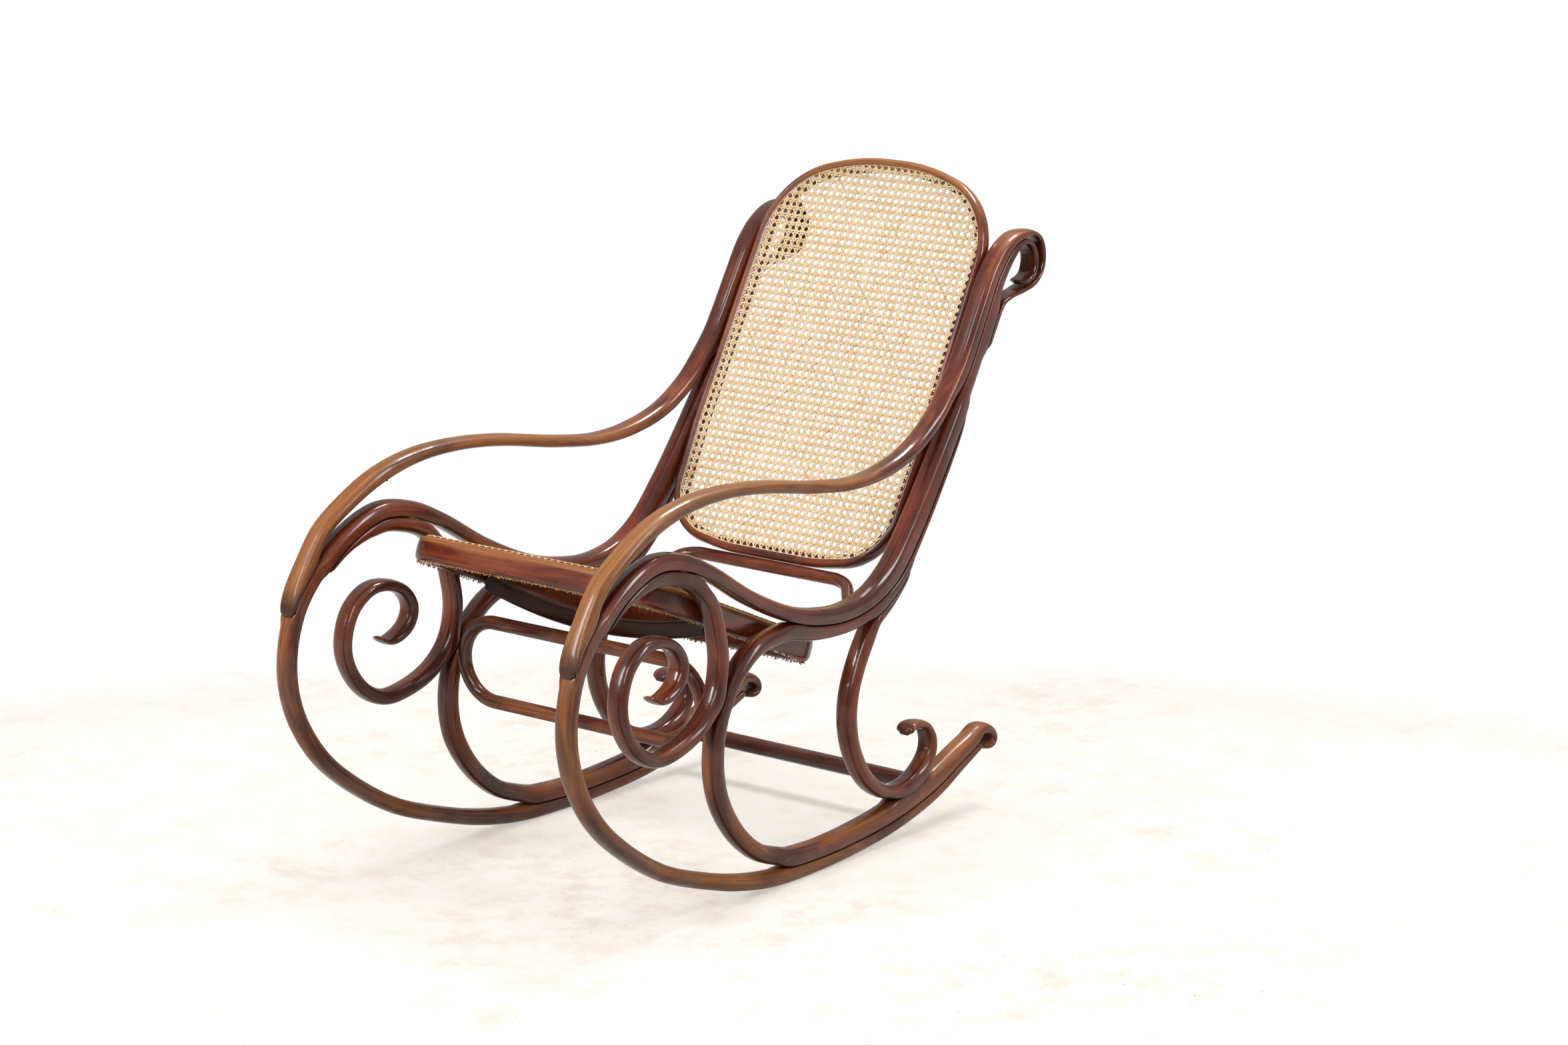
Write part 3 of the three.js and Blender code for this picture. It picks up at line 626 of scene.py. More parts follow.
# A rounded section carried round the outline's middle line. Its outer half can be rounder than its inner,
# and the inner half can be cut down to a lip that carries the cane.
def ringSurface(corners, thick, high, look, lipEdge=0.06, around=36):
    path = roundedOutline(corners, thick / 2)
    tangent = closedTangent(path)
    c, s = turns(around)
    exponent = np.where(c > 0, look["outer"], look["inner"])
    across, up = squarer(c, exponent) * thick / 2, squarer(s, exponent) * high / 2
    if "lip" in look:
        up = np.where(across < lipEdge * thick, np.minimum(up, look["lip"]), up)
    return carried(np.column_stack([path, np.full(len(path), thick), tangent[:, 1], -tangent[:, 0]]), across, up)


# Turns a drawing's own x, y, z about the x axis and moves it to its place.
def placed(points, angle, at):
    flat = points.reshape(-1, 3)
    c, s = math.cos(angle), math.sin(angle)
    turned = np.column_stack([flat[:, 0], flat[:, 1] * c - flat[:, 2] * s, flat[:, 1] * s + flat[:, 2] * c])
    return turned + np.array(at) + shift


seatRise = seatShape["high"] / 2
seatPlace = (-slope, (
    0, seatShape["front"][0] + seatRise * math.sin(slope), seatShape["front"][1] + seatRise * math.cos(slope)))
backPlace = (math.pi / 2 - backTilt, (0, *backShape["foot"]))


# Wear all over, and more where the height on this axis grows past its start.
def topWorn(height, look):
    return look["wear"] + look["topWear"] * np.clip((height - look["topFrom"]) / look["topFade"], 0, 1)


points, grain = ringSurface(seatCorners, seatShape["thick"], seatShape["high"], seatShape)
x, y, z = np.moveaxis(points, -1, 0)
wear = topWorn(z, seatShape) + seatShape["frontWear"] * np.clip(1 - y / seatShape["frontFade"], 0, 1)
highlightX, highlightY = seatShape["cornerHighlightAt"]  # a painted highlight on the rear corner
# A painted highlight on the rear corner, added to the wear so that it shows golden.
wear = wear + seatShape["cornerHighlight"] * np.exp(-((x - highlightX) ** 2 + (y - highlightY) ** 2) / seatShape["cornerHighlightSpread"])
woodPiece("seat_ring_bent", "seat_ring", placed(points, *seatPlace), gridFaces(*points.shape[:2], True), (),
          grain, wear, 0.0, seatWood)

points, grain = ringSurface(backCorners, backShape["wide"], backShape["deep"], backShape)
woodPiece("back_ring_bent", "back_ring", placed(points, *backPlace), gridFaces(*points.shape[:2], True), (),
          grain + 3000, topWorn(points[..., 1], backShape), 0.0, frameWood)
print("rings bent")


# A closed or open tube of superellipse section round a path in its own plane.
# The darkening value darkens the whole tube by that share towards the darkest varnish colour.
def tubePiece(name, node, rows, width, place, wear=0.1, darkening=0.0, closed=False, exponent=2.2,
              material=frameWood, around=28):
    c, s = turns(around)
    points, grain = carried(rows, squarer(c, exponent) * rows[:, 2:3] / 2, squarer(s, exponent) * width / 2)
    size = points.shape[:2]
    woodPiece(name, node, placed(points, *place), gridFaces(*size, closed), () if closed else endCaps(*size),
              grain + 1000 * len(name), np.full(size, wear), darkening, material)


# Rows along x and y with one thickness, whose direction across is y throughout.
def levelRows(x, y, thickness):
    one = np.ones(len(x))
    return np.column_stack([x, y * one, thickness * one, 0 * one, one])


slat = {"high": 25, "thick": 12, "sag": 29, "endRise": 3, "behind": 150, "exponent": 6}
slatHalf = seatHalfAt((slat["behind"] + slat["thick"] / 2) / math.cos(slope)) - seatShape["thick"] - side["gap"]
slatRadius = (slatHalf**2 + slat["sag"] ** 2) / (2 * slat["sag"])
slatAngle = np.linspace(-1, 1, 90) * math.asin(slatHalf / slatRadius)
slatRows = levelRows(slatRadius * np.sin(slatAngle), slatRadius * (1 - np.cos(slatAngle)), slat["high"])
slatY = seatShape["front"][0] + slat["behind"]
slatZ = seatShape["front"][1] - slat["behind"] * math.tan(slope) + slat["endRise"] - slat["sag"]
tubePiece("under_seat_slat_bent", "under_seat_slat", slatRows, slat["thick"], (math.pi / 2, (0, slatY, slatZ)),
          exponent=slat["exponent"], material=slatWood)

bow = {  # bend: shares of the way out to the side frame and of the drop
    "tube": 18.5, "straightHalf": 130, "drop": 63, "tilt": math.radians(30), "straight": (0.5, 0.85, 0.95),
    "bend": ((0, 0), (0.27, 0.13), (0.46, 0.45), (0.66, 0.82), (0.86, 1), (1, 1)),
}
bowSeat = bow["tube"] / 2 / math.cos(math.pi / 8) + side["gap"]
bowTop = (backShape["foot"][0] - bowSeat * math.sin(backTilt), backShape["foot"][1] - bowSeat * math.cos(backTilt))
bowReach = innerHalfAt(bowTop[0] - bow["drop"] * math.sin(bow["tilt"]) + bowSeat) - bow["straightHalf"]
bowHalf = [[share * bow["straightHalf"], 0, bow["tube"]] for share in bow["straight"]]
bowHalf += [[bow["straightHalf"] + a * bowReach, -d * bow["drop"], bow["tube"]] for a, d in bow["bend"]]
bowPoints = np.array([[-x, y, tube] for x, y, tube in bowHalf[::-1]] + bowHalf)
tubePiece("rear_bow_bent", "rear_bow", evenRows(curveThrough(bowPoints, 0, len(bowPoints) - 1)), bow["tube"],
          (bow["tilt"], (0, *bowTop)))

stretcher = {
    "tube": 20, "height": 118, "at": middlePlace(-0.0283, 0.327), "wear": 0.34, "darkening": 0.12, "stations": 300,
}
stretcherRadius = stretcher["height"] / 2
stretcherHalf = innerHalfAt(stretcher["at"][0] + stretcher["tube"] / 2) - stretcher["tube"] / 2 - stretcherRadius
arc = np.linspace(-math.pi / 2, math.pi / 2, 60)
bend = np.column_stack([stretcherHalf + stretcherRadius * np.cos(arc), stretcherRadius * np.sin(arc)])
track = evenRound(np.vstack([bend, -bend]), count=stretcher["stations"])
tangent = closedTangent(track)
track = np.column_stack([track, np.full(len(track), stretcher["tube"]), -tangent[:, 1], tangent[:, 0]])
tubePiece("front_stretcher_bent", "front_stretcher", track, stretcher["tube"],
          (math.pi / 2, (0, *stretcher["at"])), stretcher["wear"], stretcher["darkening"], closed=True)

dowel = {"diameter": 25, "at": middlePlace(0.424, 0.0755), "darkening": 0.4}
dowelHalf = innerHalfAt(dowel["at"][0] + dowel["diameter"] / 2)
dowelRows = levelRows(np.linspace(-dowelHalf, dowelHalf, 60), 0, dowel["diameter"])
tubePiece("rear_dowel_turned", "rear_dowel", dowelRows, dowel["diameter"], (math.pi / 2, (0, *dowel["at"])),
          darkening=dowel["darkening"], exponent=2.0)
print("cross members bent")

weave = {
    "pitch": 12.45, "pairHalf": 1.55, "strand": 2.45, "diagonal": 2.6, "thick": 1.0, "swing": 0.6,
    "diagonalSwing": 1.1, "perCell": 4, "tuck": 2.0, "endDip": 1.3, "endFade": 5.0, "shortest": 6,
    "wander": 0.16, "wanderWave": (0.031, 0.047, 2.1), "lines": 40, "diagonals": 90, "spread": (7.7, 3.1),
    "section": np.array([[-0.5, 0.05], [-0.27, 0.42], [0.27, 0.42], [0.5, 0.05], [0, -0.42]]),
}
strip = {
    "width": 2.4, "spread": (5.3, 3.7),
    "section": np.array([[-0.5, 0.0], [-0.25, 0.5], [0.25, 0.5], [0.5, 0.0], [0, -0.5]]),
}
binding = {
    "width": 3.4, "thick": 1.1, "step": 6.0, "inset": 0.6,
    "stitch": 12.45, "stitchWidth": 2.3, "stitchThick": 0.8, "stitchRise": 1.1, "stitchSink": 0.4,
    "stitchHalf": 2.6, "stitchLean": 0.5, "stations": 7,
}
fringe = {
    "spacing": 2.6, "inset": 7.0, "level": 0.8, "rise": -4.0, "length": (2.0, 5.5), "height": (0.25, 1),
    "width": (1.2, 2.3), "taper": [1, 1, 0.9, 0.7, 0.35], "thick": 0.7, "lean": 1.2, "leanShare": 0.6,
    "out": (0.15, 0.35), "along": 1, "scatter": 0.8, "arch": 2.2, "tints": (1.4, 2.2), "step": 1.5,
}
cane = {
    "pale": shade(242, 222, 184), "tan": shade(222, 186, 130), "blotch": shade(244, 228, 194),
    # the rim colour is painted shade along each strand's edges
    "rim": shade(188, 128, 66), "line": shade(196, 150, 94), "stain": shade(168, 98, 66),
    # the under colour is painted shade for the strands' under side
    "gold": shade(206, 142, 54), "under": shade(52, 30, 20), "specular": 0.4, "bump": 0.25,
    "lineScale": (2200, 60, 40), "stainScale": (300, 45, 11), "blotchScale": 55.0,  # across, up, along
}


# Cane skin: pale gold, each strand its own tint, with fine lines along it and reddish stains, and painted shade at each
# strand's edges and on its under side.
def makeCane(look):
    material, n, shader = newMaterial("wovenCane")
    strand, tint = n.attribute("strand", "Vector"), n.attribute("tint")
    line = n.noise(n.stretched(strand, look["lineScale"]), 1.0, 2.0, 0.5)
    blotch = n.noise(n.objectPoint(), look["blotchScale"], 3.0, 0.6)
    stain = n.noise(n.stretched(strand, look["stainScale"]), 1.0, 3.0, 0.6)
    # rim: each strand's edges, where the rim colour paints shade
    rim = n.ramp(n.calc("ABSOLUTE", n.attribute("across"), 0.0), 0.28, 0.5)
    color = n.mix(tint, look["pale"], look["tan"])
    for factor, toward in (
        (n.ramp(blotch, 0.35, 0.7, 0.0, 0.7), "blotch"), (n.times(rim, 0.6), "rim"),
        (n.times(n.ramp(line, 0.5, 0.75), 0.35), "line"), (n.times(n.ramp(stain, 0.57, 0.7), 0.7), "stain"),
        # the under colour paints shade on the strands' under side
        (n.ramp(tint, 1.0, 2.0), "gold"), (n.attribute("under"), "under"),
    ):
        color = n.mix(factor, color, look[toward])
    n.put(shader, {
        "Base Color": color, "Roughness": n.ramp(line, 0.3, 0.8, 0.42, 0.62),
        "Specular IOR Level": look["specular"], "Normal": n.bump(line, look["bump"], 0.0003),
    })
    return material


caneSkin = makeCane(cane)


# Where each line (a point and a direction) crosses a convex outline: its first and last distance.
def crossings(outline, start, direction):
    a, b = outline, np.roll(outline, -1, 0)
    normal = np.array([-direction[1], direction[0]])
    da = (a[None] - start[:, None]) @ normal
    db = (b[None] - start[:, None]) @ normal
    hit = (da > 0) != (db > 0)
    f = np.where(hit, da / np.where(hit, da - db, 1), 0)
    point = a[None] + (b - a)[None] * f[..., None]
    t = (point - start[:, None]) @ direction
    return np.where(hit, t, np.inf).min(1), np.where(hit, t, -np.inf).max(1)


# Strands as a grid of strand, station and place in the section: quads where a strand is live, a face at
# each of its ends, and the attributes of the cane skin.
def strandMesh(points, live, look, width, along, tint):
    strands, stations, n = points.shape[:3]
    i, k = np.nonzero(live)
    base, j = ((i * stations + k) * n)[:, None], np.arange(n)
    jNext = (j + 1) % n
    quads = np.stack([base + j, base + n + j, base + n + jNext, base + jNext], -1).reshape(-1, 4)
    row = np.arange(strands) * stations
    first, last = live.argmax(1), stations - 1 - live[:, ::-1].argmax(1)
    caps = np.vstack([((row + first) * n)[:, None] + j, ((row + last) * n)[:, None] + j[::-1]])
    number, across = np.arange(strands)[:, None, None], look["section"][:, 0]
    x, y, z, tint, across = np.broadcast_arrays(
        across * width + number * look["spread"][0], number * look["spread"][1], along[..., None],
        np.asarray(tint)[:, None, None], across)
    return points.reshape(-1, 3), quads, caps, np.stack([x, y, z], -1).reshape(-1, 3), tint.ravel(), across.ravel()


# One family of parallel strands: each is a flat lens section carried along its line, and its height
# is the wave given for the family. Stations stand at fixed shares of a cell and stop at the outline, where
# the strand dips by the square of its nearness.
def strandFamily(outline, start, direction, width, wave, spacing, levels):
    first, last = crossings(outline, start, direction)
    good = np.isfinite(first) & (last - first > weave["shortest"])
    start, first, last, levels = start[good], first[good, None], last[good, None], levels[good, None]
    stations = math.floor((first.min() - spacing) / spacing), math.ceil((last.max() + spacing) / spacing) + 1
    t = np.clip(np.arange(*stations) * spacing, first, last)
    place = start[:, None, :] + direction * t[..., None]
    near = np.minimum(t - first, last - t)
    z = wave(place, levels) - weave["endDip"] * np.clip(1 - near / weave["endFade"], 0, 1) ** 2
    byX, byY, byLevel = weave["wanderWave"]
    phase = place[..., 0] * byX + place[..., 1] * byY + levels * byLevel + start[:, :1]
    across = weave["section"][:, 0] * width + (weave["wander"] * np.sin(phase))[..., None]
    flat = place[:, :, None, :] + np.array([-direction[1], direction[0]]) * across[..., None]
    up = z[:, :, None] + weave["section"][:, 1] * weave["thick"]
    points = np.concatenate([flat, up[..., None]], -1)
    return strandMesh(points, np.diff(t, axis=1) > 1e-4, weave, width, t, seed.uniform(0, 1, len(t)))


# Makes the families into one piece and keeps only the vertices that faces use. Every fifth vertex is the
# under side of its strand, darkened there with painted shade by the share given.
def canePiece(name, node, families, place, under=0.0):
    starts = np.cumsum([0] + [len(family[0]) for family in families[:-1]])
    shifted = [(p, q + start, c + start, *rest) for (p, q, c, *rest), start in zip(families, starts)]
    points, quads, caps, strand, tint, across = (np.concatenate(values) for values in zip(*shifted))
    used, inverse = np.unique(np.concatenate([quads.ravel(), caps.ravel()]), return_inverse=True)
    quads, caps = inverse[:quads.size].reshape(-1, 4), inverse[quads.size:].reshape(caps.shape)
    attributes = {"strand": strand[used] / 1000, "tint": tint[used], "across": across[used],
                  "under": under * (used % 5 == 4)}
    print(name, len(quads) * 2 + len(caps) * 3, "triangles")
    seat(addPiece(name, placed(points[used], *place), quads, caneSkin, caps, attributes), node)


# Pairs up and across and two diagonals, woven over and under: heights are waves of the place in a cell.
def weavePanel(label, panel):
    pitch, step = weave["pitch"], weave["pitch"] / weave["perCell"]
    outline = roundedOutline(panel["corners"], panel["inset"] - weave["tuck"])
    coarse = outline[::2]
    cell = np.array([pitch / 2, (outline.min(0)[1] + outline.max(0)[1]) / 2])  # the middle of one cell

    def level(p):  # the rim's height, less a drop that grows by smoothstep with the way in from the outline
        if not panel["drop"]:
            return panel["rim"]
        near, far = panel["reach"]
        away = np.sqrt(((p.reshape(-1, 1, 2) - coarse) ** 2).sum(-1).min(1)).reshape(p.shape[:-1])
        f = np.clip((away - near) / (far - near), 0, 1)
        return panel["rim"] - panel["drop"] * f * f * (3 - 2 * f)

    def wave(p, axis):
        return np.sin(2 * np.pi * (p[..., axis] - cell[axis]) / pitch)

    pair = np.array([-1.0, 1.0])
    lines = np.arange(-weave["lines"], weave["lines"] + 1)
    families = []
    for axis, sign in ((0, 1), (1, -1)):  # the strands that run up, then those that run across
        start = np.tile(cell, (2 * len(lines), 1))
        start[:, axis] = ((lines * pitch + cell[axis])[:, None] + pair * weave["pairHalf"]).ravel()
        families.append(strandFamily(
            outline, start, np.eye(2)[1 - axis], weave["strand"],
            lambda p, s, axis=axis, sign=sign: level(p) + sign * weave["swing"] * s * wave(p, 1 - axis),
            step, np.tile(pair, len(lines))))
    lines = np.arange(-weave["diagonals"], weave["diagonals"] + 1)
    start = np.column_stack([cell[0] + (lines + 0.5) * pitch, np.full(len(lines), cell[1])])
    for sign in (1, -1):
        families.append(strandFamily(
            outline, start, np.array([1.0, sign]) / math.sqrt(2), weave["diagonal"],
            lambda p, s, sign=sign: level(p) - sign * weave["diagonalSwing"] * np.cos(
                2 * np.pi * (p[..., 0] - cell[0]) / pitch),
            step * math.sqrt(2), np.ones(len(lines))))
    for way, node, span in (("up", label, (0, 1)), ("across", None, (1, 2)), ("diagonal", None, (2, 4))):
        canePiece(f"{label}_{way}_strands", node, families[slice(*span)], panel["place"], panel["under"])


# One lens section carried along open rows (place, side direction), with widths by row.
def stripSurface(place, sideways, width, thick):
    width = np.broadcast_to(width, place.shape[:-1])[..., None, None]
    points = place[..., None, :] + sideways[..., None, :] * strip["section"][:, :1] * width
    return points + upward * strip["section"][:, 1:] * thick


# Many short open strips as one family, closed at both ends by a face.
def stripFamily(points, tint, lengthStep):
    strips, stations = points.shape[:2]
    along = (np.arange(stations) * lengthStep)[None]
    return strandMesh(points, np.ones((strips, stations - 1), bool), strip, strip["width"], along, tint)


# Outline places, the direction on and the direction outwards, at even steps.
def outlineFrame(corners, inset, step):
    path = roundedOutline(corners, inset, step)
    tangent = closedTangent(path)
    zero = np.zeros((len(path), 1))
    return np.hstack([path, zero]), np.hstack([tangent, zero]), np.hstack([tangent[:, 1:], -tangent[:, :1], zero])


# The binding strand that covers the ends of the cane, and the small loops that hold it down: each loop
# is an arch, up by the sine of its share while it crosses the strand.
def bindingPiece(label, panel):
    inset, level = panel["inset"] + binding["inset"], panel["bindingLevel"]
    path, _, sideways = outlineFrame(panel["corners"], inset, binding["step"])
    rim = stripSurface(path + upward * level, sideways, binding["width"], binding["thick"])
    rim = stripFamily(np.concatenate([rim, rim[:1]])[None], [panel["tints"][0]], binding["step"])
    at, onward, sideways = (v[:, None] for v in outlineFrame(panel["corners"], inset, binding["stitch"]))
    share = np.linspace(-1, 1, binding["stations"])[:, None]
    lean = seed.uniform(-binding["stitchLean"], binding["stitchLean"], len(at))[:, None, None]
    lift = level + binding["stitchRise"] * np.sqrt(np.clip(1 - share**2, 0, 1)) - binding["stitchSink"]
    loops = at + sideways * share * binding["stitchHalf"] + onward * share * lean + upward * lift
    loops = stripSurface(loops, onward, binding["stitchWidth"], binding["stitchThick"])
    loops = stripFamily(loops, seed.uniform(*panel["tints"], len(at)), 1.0)
    canePiece(f"{label}_binding", None, [rim, loops], panel["place"])


# Ragged ends of cane on the ring: each is a short strip that starts on the outline, leans along it and
# outwards, and bends over with the square of its share.
def fringePiece(label, corners, level, place):
    at, onward, sideways = (v[:, None] for v in outlineFrame(corners, fringe["inset"], fringe["spacing"]))
    count = len(at)

    def uniform(low, high):
        return seed.uniform(low, high, count)[:, None, None]

    def normal(middle, spread):
        return seed.normal(middle, spread, count)[:, None, None]

    share = np.linspace(0, 1, len(fringe["taper"]))[:, None]
    length, lean, out = uniform(*fringe["length"]), normal(0, fringe["lean"]), normal(*fringe["out"])
    height = uniform(*fringe["height"]) * fringe["rise"]
    ends = at + onward * uniform(-fringe["along"], fringe["along"]) + sideways * normal(0, fringe["scatter"])
    ends = ends + onward * lean * share * length * fringe["leanShare"] + sideways * out * share**2 * length
    ends = ends + upward * (level + fringe["level"] + height * np.sin(share * fringe["arch"]))
    width = uniform(*fringe["width"])[..., 0] * np.array(fringe["taper"])
    turned = uniform(0, 2 * np.pi)
    flatwise = sideways * np.cos(turned) + onward * np.sin(turned)
    surface = stripSurface(ends, flatwise, width, fringe["thick"])
    family = stripFamily(surface, seed.uniform(*fringe["tints"], count), fringe["step"])
    canePiece(f"{label}_fringe", None, [family], place)


# Each panel's under value is the share of painted shade on its strands' under side.
panels = {
    "back_cane": {
        "corners": backCorners, "inset": backShape["caneInset"], "rim": backShape["caneForward"], "drop": 0,
        "under": 0.3, "bindingLevel": backShape["caneForward"] + 1.2, "tints": (0.1, 1.4), "place": backPlace,
    },
    "seat_cane": {
        "corners": seatCorners, "inset": seatShape["caneInset"], "rim": seatRise + 1.2,
        "drop": seatShape["caneDrop"], "reach": (15, 60), "under": 0.95, "bindingLevel": seatRise + 1.6,
        "tints": (1.0, 1.9), "place": seatPlace,
    },
}
for label, panel in panels.items():
    weavePanel(label, panel)
for label, panel in panels.items():
    bindingPiece(label, panel)
fringePiece("seat_cane_under", seatCorners, -seatRise, seatPlace)
print("cane woven")

fixings = {
    "headRadius": 4.2, "headRise": 1.5, "headFlat": 0.8, "headSink": 0.4, "slot": 1.0, "slotDepth": 0.8,
    "skirt": 1.2, "recessRadius": 6.0, "dimpleEdge": 0.35, "dimpleDepth": 0.7, "nailRadius": 1.7,
    "screwAt": (479.5, 62.5), "screwSunk": 0.2, "nailSunk": 0.25,
    "bowScrewsAt": (-58.0, 62.0), "bowHeadShare": 0.9, "bowSunk": 0.6,
    "nails": [  # side, depth, height, face
        (1, 486.1, 102.1, 1), (1, 481.2, 87.9, 1), (1, 700.0, 776.7, 1), (-1, -166.6, 569.9, -1),
    ],
}


# Dark iron with a little bare metal where the driver turned it.
def makeIron():
    material, n, shader = newMaterial("darkIron")
    rust = n.ramp(n.noise(n.objectPoint(), 900.0, 4.0, 0.6), 0.4, 0.65)
    n.put(shader, {
        "Base Color": n.mix(rust, shade(88, 78, 70), shade(58, 36, 26)),
        "Metallic": n.ramp(rust, 0.0, 1.0, 0.9, 0.3), "Roughness": n.ramp(rust, 0.0, 1.0, 0.35, 0.7),
    })
    return material


iron = makeIron()


# A round cap on an axis, up by the function rise of the share of its radius, with a straight slot cut where
# the place across is under half the slot's width, and a short skirt down into the wood.
def capPiece(name, at, axis, radius, rise, slot, material, slotName=None, rings=14, around=36):
    axis = unit(np.array(axis))
    first = unit(np.cross(axis, [0.31, 0.22, 0.92]))
    second = np.cross(axis, first)
    share, turn = np.meshgrid(np.linspace(0.04, 1, rings), np.arange(around) / around * 2 * np.pi, indexing="ij")
    a, b, up = share * radius * np.cos(turn), share * radius * np.sin(turn), rise(share)
    if slot:
        up = np.where(np.abs(a) < slot / 2, up - fixings["slotDepth"], up)
    points = np.array(at) + a[..., None] * first + b[..., None] * second + up[..., None] * axis
    points = np.concatenate([points, points[-1:] - axis * fixings["skirt"]]).reshape(-1, 3)
    grain = np.stack([a, b, 0 * a], -1)
    grain = np.concatenate([grain, grain[-1:]]).reshape(-1, 3) / 1000
    flat = np.zeros(len(points))
    quads = gridFaces(rings + 1, around)[:, ::-1]
    # full joint darkness: grime and painted shade where a hole takes this cap
    attributes = {"grain": grain, "wear": flat, "joint": flat + 1}
    piece = addPiece(name, points, quads, material, [np.arange(around)], attributes, smooth=False)
    return seat(piece, None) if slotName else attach(piece, "root")


# A screw's head: a flattened ellipse. A hole: a dip by the square of the share.
def dome(share):
    return fixings["headRise"] * np.sqrt(1 - fixings["headFlat"] * share**2) - fixings["headSink"]


def dimple(share):
    return fixings["dimpleEdge"] - fixings["dimpleDepth"] * (1 - share**2)


# Half the width of the frame where a fixing sits: the highest superellipse of the rods under it.
def halfWidthAt(u, v):
    heights = [0.0]
    for rows in sideRods.values():
        away = np.hypot(rows[:, 0] - u, rows[:, 1] - v)
        share = min(1.0, away.min() / (rows[away.argmin(), 2] / 2))
        heights.append(side["width"] / 2 * (1 - share ** side["roundness"]) ** (1 / side["roundness"]))
    return max(heights)


# A place on a side frame's drawing (depth and height in mm), on its outer (1) or inner (-1) face, and the
# way out.
def onFace(u, v, sign, face):
    out = sign * face
    heights = (out * halfWidthAt(u, v) + step for step in (0, out))
    base, beyond = (sidePlaced(np.array([[u, v, w]]), sign)[0] for w in heights)
    return base, beyond - base


# The two kinds of fixing: a head of bare iron, and a dark hole in the wood, darkened with grime and painted shade.
def screwHead(name, at, axis, radius):
    capPiece(name, at, axis, radius, dome, fixings["slot"], iron)


def darkHole(name, at, axis, radius):
    capPiece(name, at, axis, radius, dimple, 0, slatWood, "black_wood")


for suffix, sign in (("left", 1), ("right", -1)):
    at, axis = onFace(*fixings["screwAt"], sign, 1)
    darkHole(f"dowel_screw_recess_{suffix}", at, axis, fixings["recessRadius"])
    screwHead(f"dowel_screw_{suffix}", at - axis * fixings["screwSunk"], axis, fixings["headRadius"])
for k, (sign, u, v, face) in enumerate(fixings["nails"]):
    at, axis = onFace(u, v, sign, face)
    darkHole(f"nail_hole_{k + 1}", at - axis * fixings["nailSunk"], axis, fixings["nailRadius"])
for k, x in enumerate(fixings["bowScrewsAt"]):
    at = np.array([x, *bowTop]) + shift - upward * (bow["tube"] / 2 - fixings["bowSunk"])
    screwHead(f"bow_screw_{k + 1}", at, -upward, fixings["headRadius"] * fixings["bowHeadShare"])
print("screws set")

view = {
    "at": (4.03378, -4.747804, 1.945958), "lens": 101.45, "sensor": 36,
    "right": (0.777146, 0.629320, 0), "up": (-0.144335, 0.178238, 0.973344), "back": (0.612545, -0.756430, 0.229350),
}
cameraData = bpy.data.cameras.new("camera")
cameraData.sensor_width, cameraData.lens, cameraData.clip_end = view["sensor"], view["lens"], 100
camera = bpy.data.objects.new("camera", cameraData)
camera.matrix_world = Matrix([*zip(view["right"], view["up"], view["back"], view["at"]), (0, 0, 0, 1)])
bpy.context.scene.collection.objects.link(camera)
bpy.context.scene.camera = camera

lamps = {
    "keyLamp": {"at": (-0.9, -3.2, 2.5), "size": (0.75, 2.2), "watts": 96},
    "frontLamp": {"at": (1.5, -3.4, 3.0), "size": (0.5, 2.4), "watts": 46},
    "topLamp": {"at": (0.1, 1.5, 3.4), "size": (0.9, 0.9), "watts": 66},
    "sideLamp": {"at": (2.9, 1.2, 2.1), "size": (0.6, 2.2), "watts": 44},
}
lampsLookAt = Vector((0, 0, 0.45))
for lampName, lamp in lamps.items():
    data = bpy.data.lights.new(lampName, "AREA")
    data.shape = "RECTANGLE"
    data.size, data.size_y = lamp["size"]
    data.energy = lamp["watts"]
    lampObject = bpy.data.objects.new(lampName, data)
    lampObject.location = lamp["at"]
    lampObject.rotation_euler = (lampsLookAt - Vector(lamp["at"])).to_track_quat("-Z", "Y").to_euler()
    bpy.context.scene.collection.objects.link(lampObject)


# White where the camera sees it; softer light on the chair, brighter from above than from the sides.
def makeWorld(low, high, glossy):
    world = bpy.data.worlds.new("studio")
    bpy.context.scene.world = world
    world.use_nodes = True
    n = Nodes(world.node_tree)
    paths = n.make("LightPath").outputs
    height = n.add("SeparateXYZ", {0: n.add("TexCoord", output="Generated")}, "Z")
    seen = n.largest(paths["Is Camera Ray"], paths["Is Transmission Ray"])
    seen = n.largest(seen, n.times(paths["Is Glossy Ray"], glossy))
    strength = n.largest(seen, n.ramp(height, -0.1, 0.9, low, high))
    n.put(world.node_tree.nodes["Background"], {"Color": (1, 1, 1, 1), "Strength": strength})


makeWorld(0.15, 0.54, 0.35)

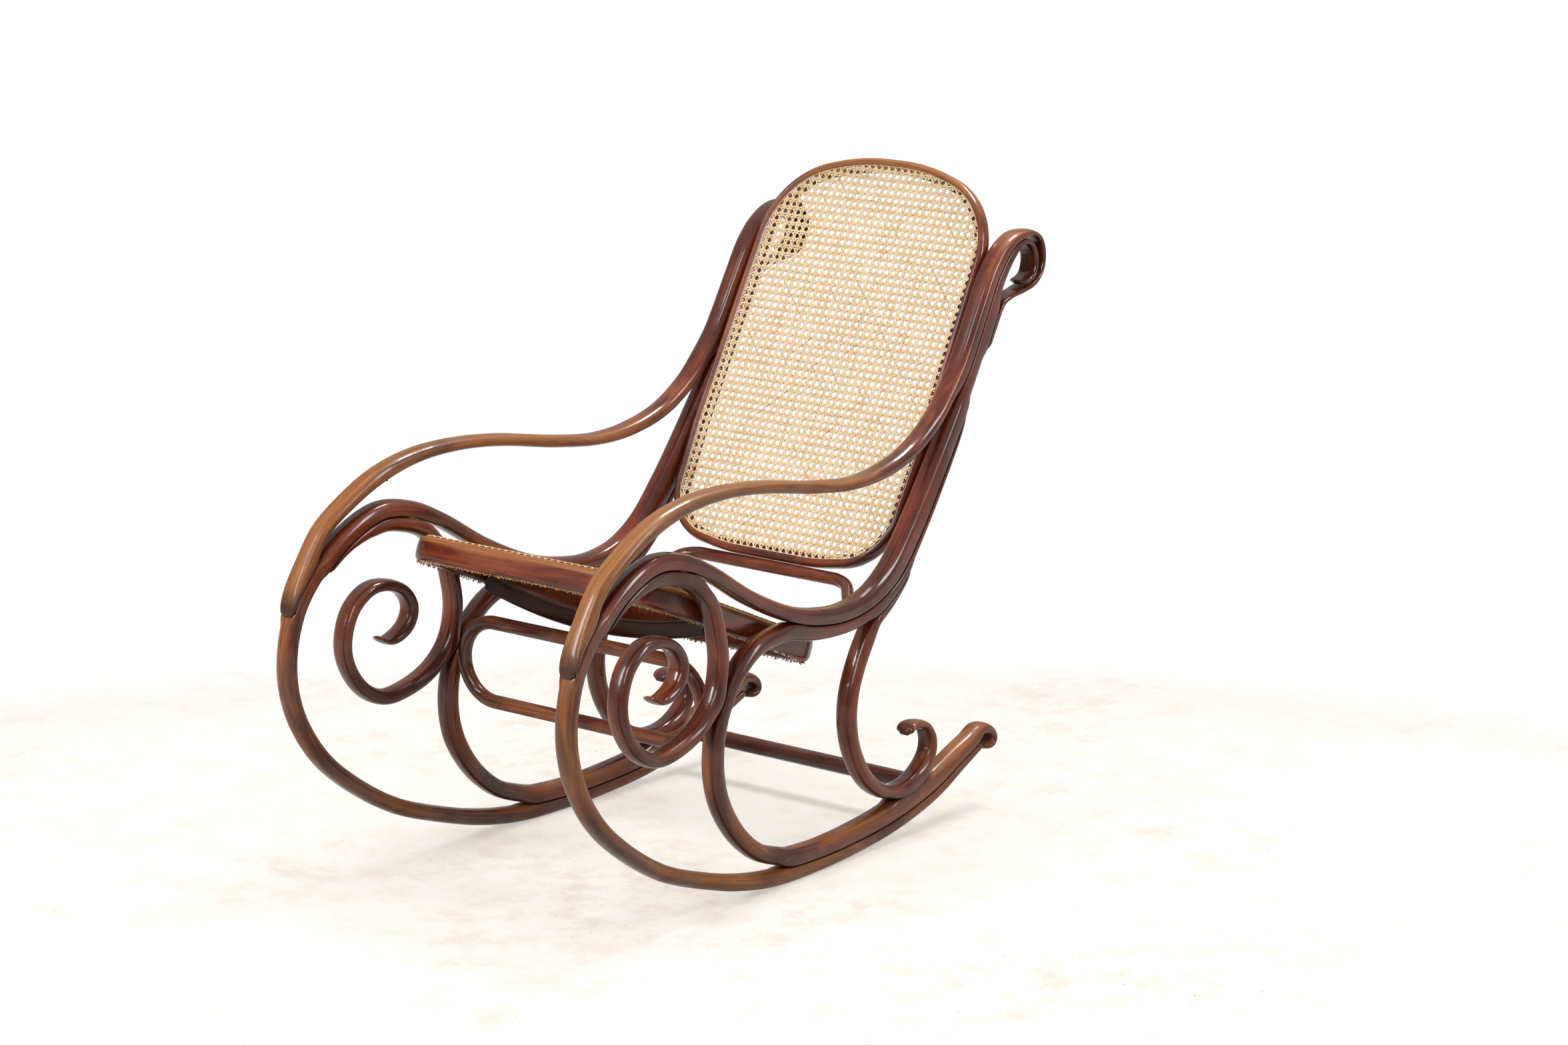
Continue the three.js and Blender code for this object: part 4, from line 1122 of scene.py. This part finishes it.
studioFloor = {
    "half": 9000.0, "pale": shade(243, 240, 236), "stain": shade(224, 212, 200), "speck": shade(120, 104, 92),
    "bounce": shade(132, 128, 122), "lifted": 0.5, "glow": 0.57, "warm": (1, 0.965, 0.925, 1),
    "broad": (1.7, 4.0, 0.62), "cloud": (14.0, 8.0, 0.78), "dots": (130.0, 2.0, 0.5),  # scale, detail, roughness
    "centre": (0.95, -1.15, 0), "fadeFrom": 2.2, "fadeTo": 2.75,
}


# Pale studio floor with faint beige stains and dark specks round the chair, pure white further off. It
# sends back less light to the chair than the camera sees.
def makeFloor(look):
    material, n, shader = newMaterial("studioFloor")
    point, black, white = n.objectPoint(), (0, 0, 0, 1), (1, 1, 1, 1)
    broad = n.ramp(n.noise(point, *look["broad"]), 0.4, 0.7)
    cloud = n.ramp(n.noise(point, *look["cloud"]), 0.42, 0.66)
    speck = n.ramp(n.noise(point, *look["dots"]), 0.715, 0.74)
    color = n.mix(n.times(n.plus(broad, 0.35), n.times(cloud, 0.6)), look["pale"], look["stain"])
    color = n.mix(n.times(speck, n.times(broad, 0.8)), color, look["speck"])
    away = n.add("VectorMath", {0: point, 1: look["centre"]}, "Value", operation="DISTANCE")
    far = n.ramp(away, look["fadeFrom"], look["fadeTo"])
    paths = n.make("LightPath").outputs
    seen = n.largest(paths["Is Camera Ray"], n.times(paths["Is Glossy Ray"], 0.5))
    near = n.mix(seen, look["bounce"], n.mix(look["lifted"], color, black))
    n.put(shader, {
        "Base Color": n.mix(n.times(far, seen), near, black), "Roughness": 1.0, "Specular IOR Level": 0.0,
        "Emission Color": n.mix(far, n.mix(1.0, color, look["warm"], "MULTIPLY"), white),
        "Emission Strength": n.times(n.ramp(far, 0.0, 1.0, look["glow"], 1.0), seen),
    })
    return material


floorPoints = np.array([[-1, -1, 0], [1, -1, 0], [1, 1, 0], [-1, 1, 0]]) * studioFloor["half"]
floor = addPiece("floor", floorPoints, np.array([[0, 1, 2, 3]]), makeFloor(studioFloor), smooth=False)
bpy.context.scene.view_settings.view_transform = "Standard"
print("studio set")
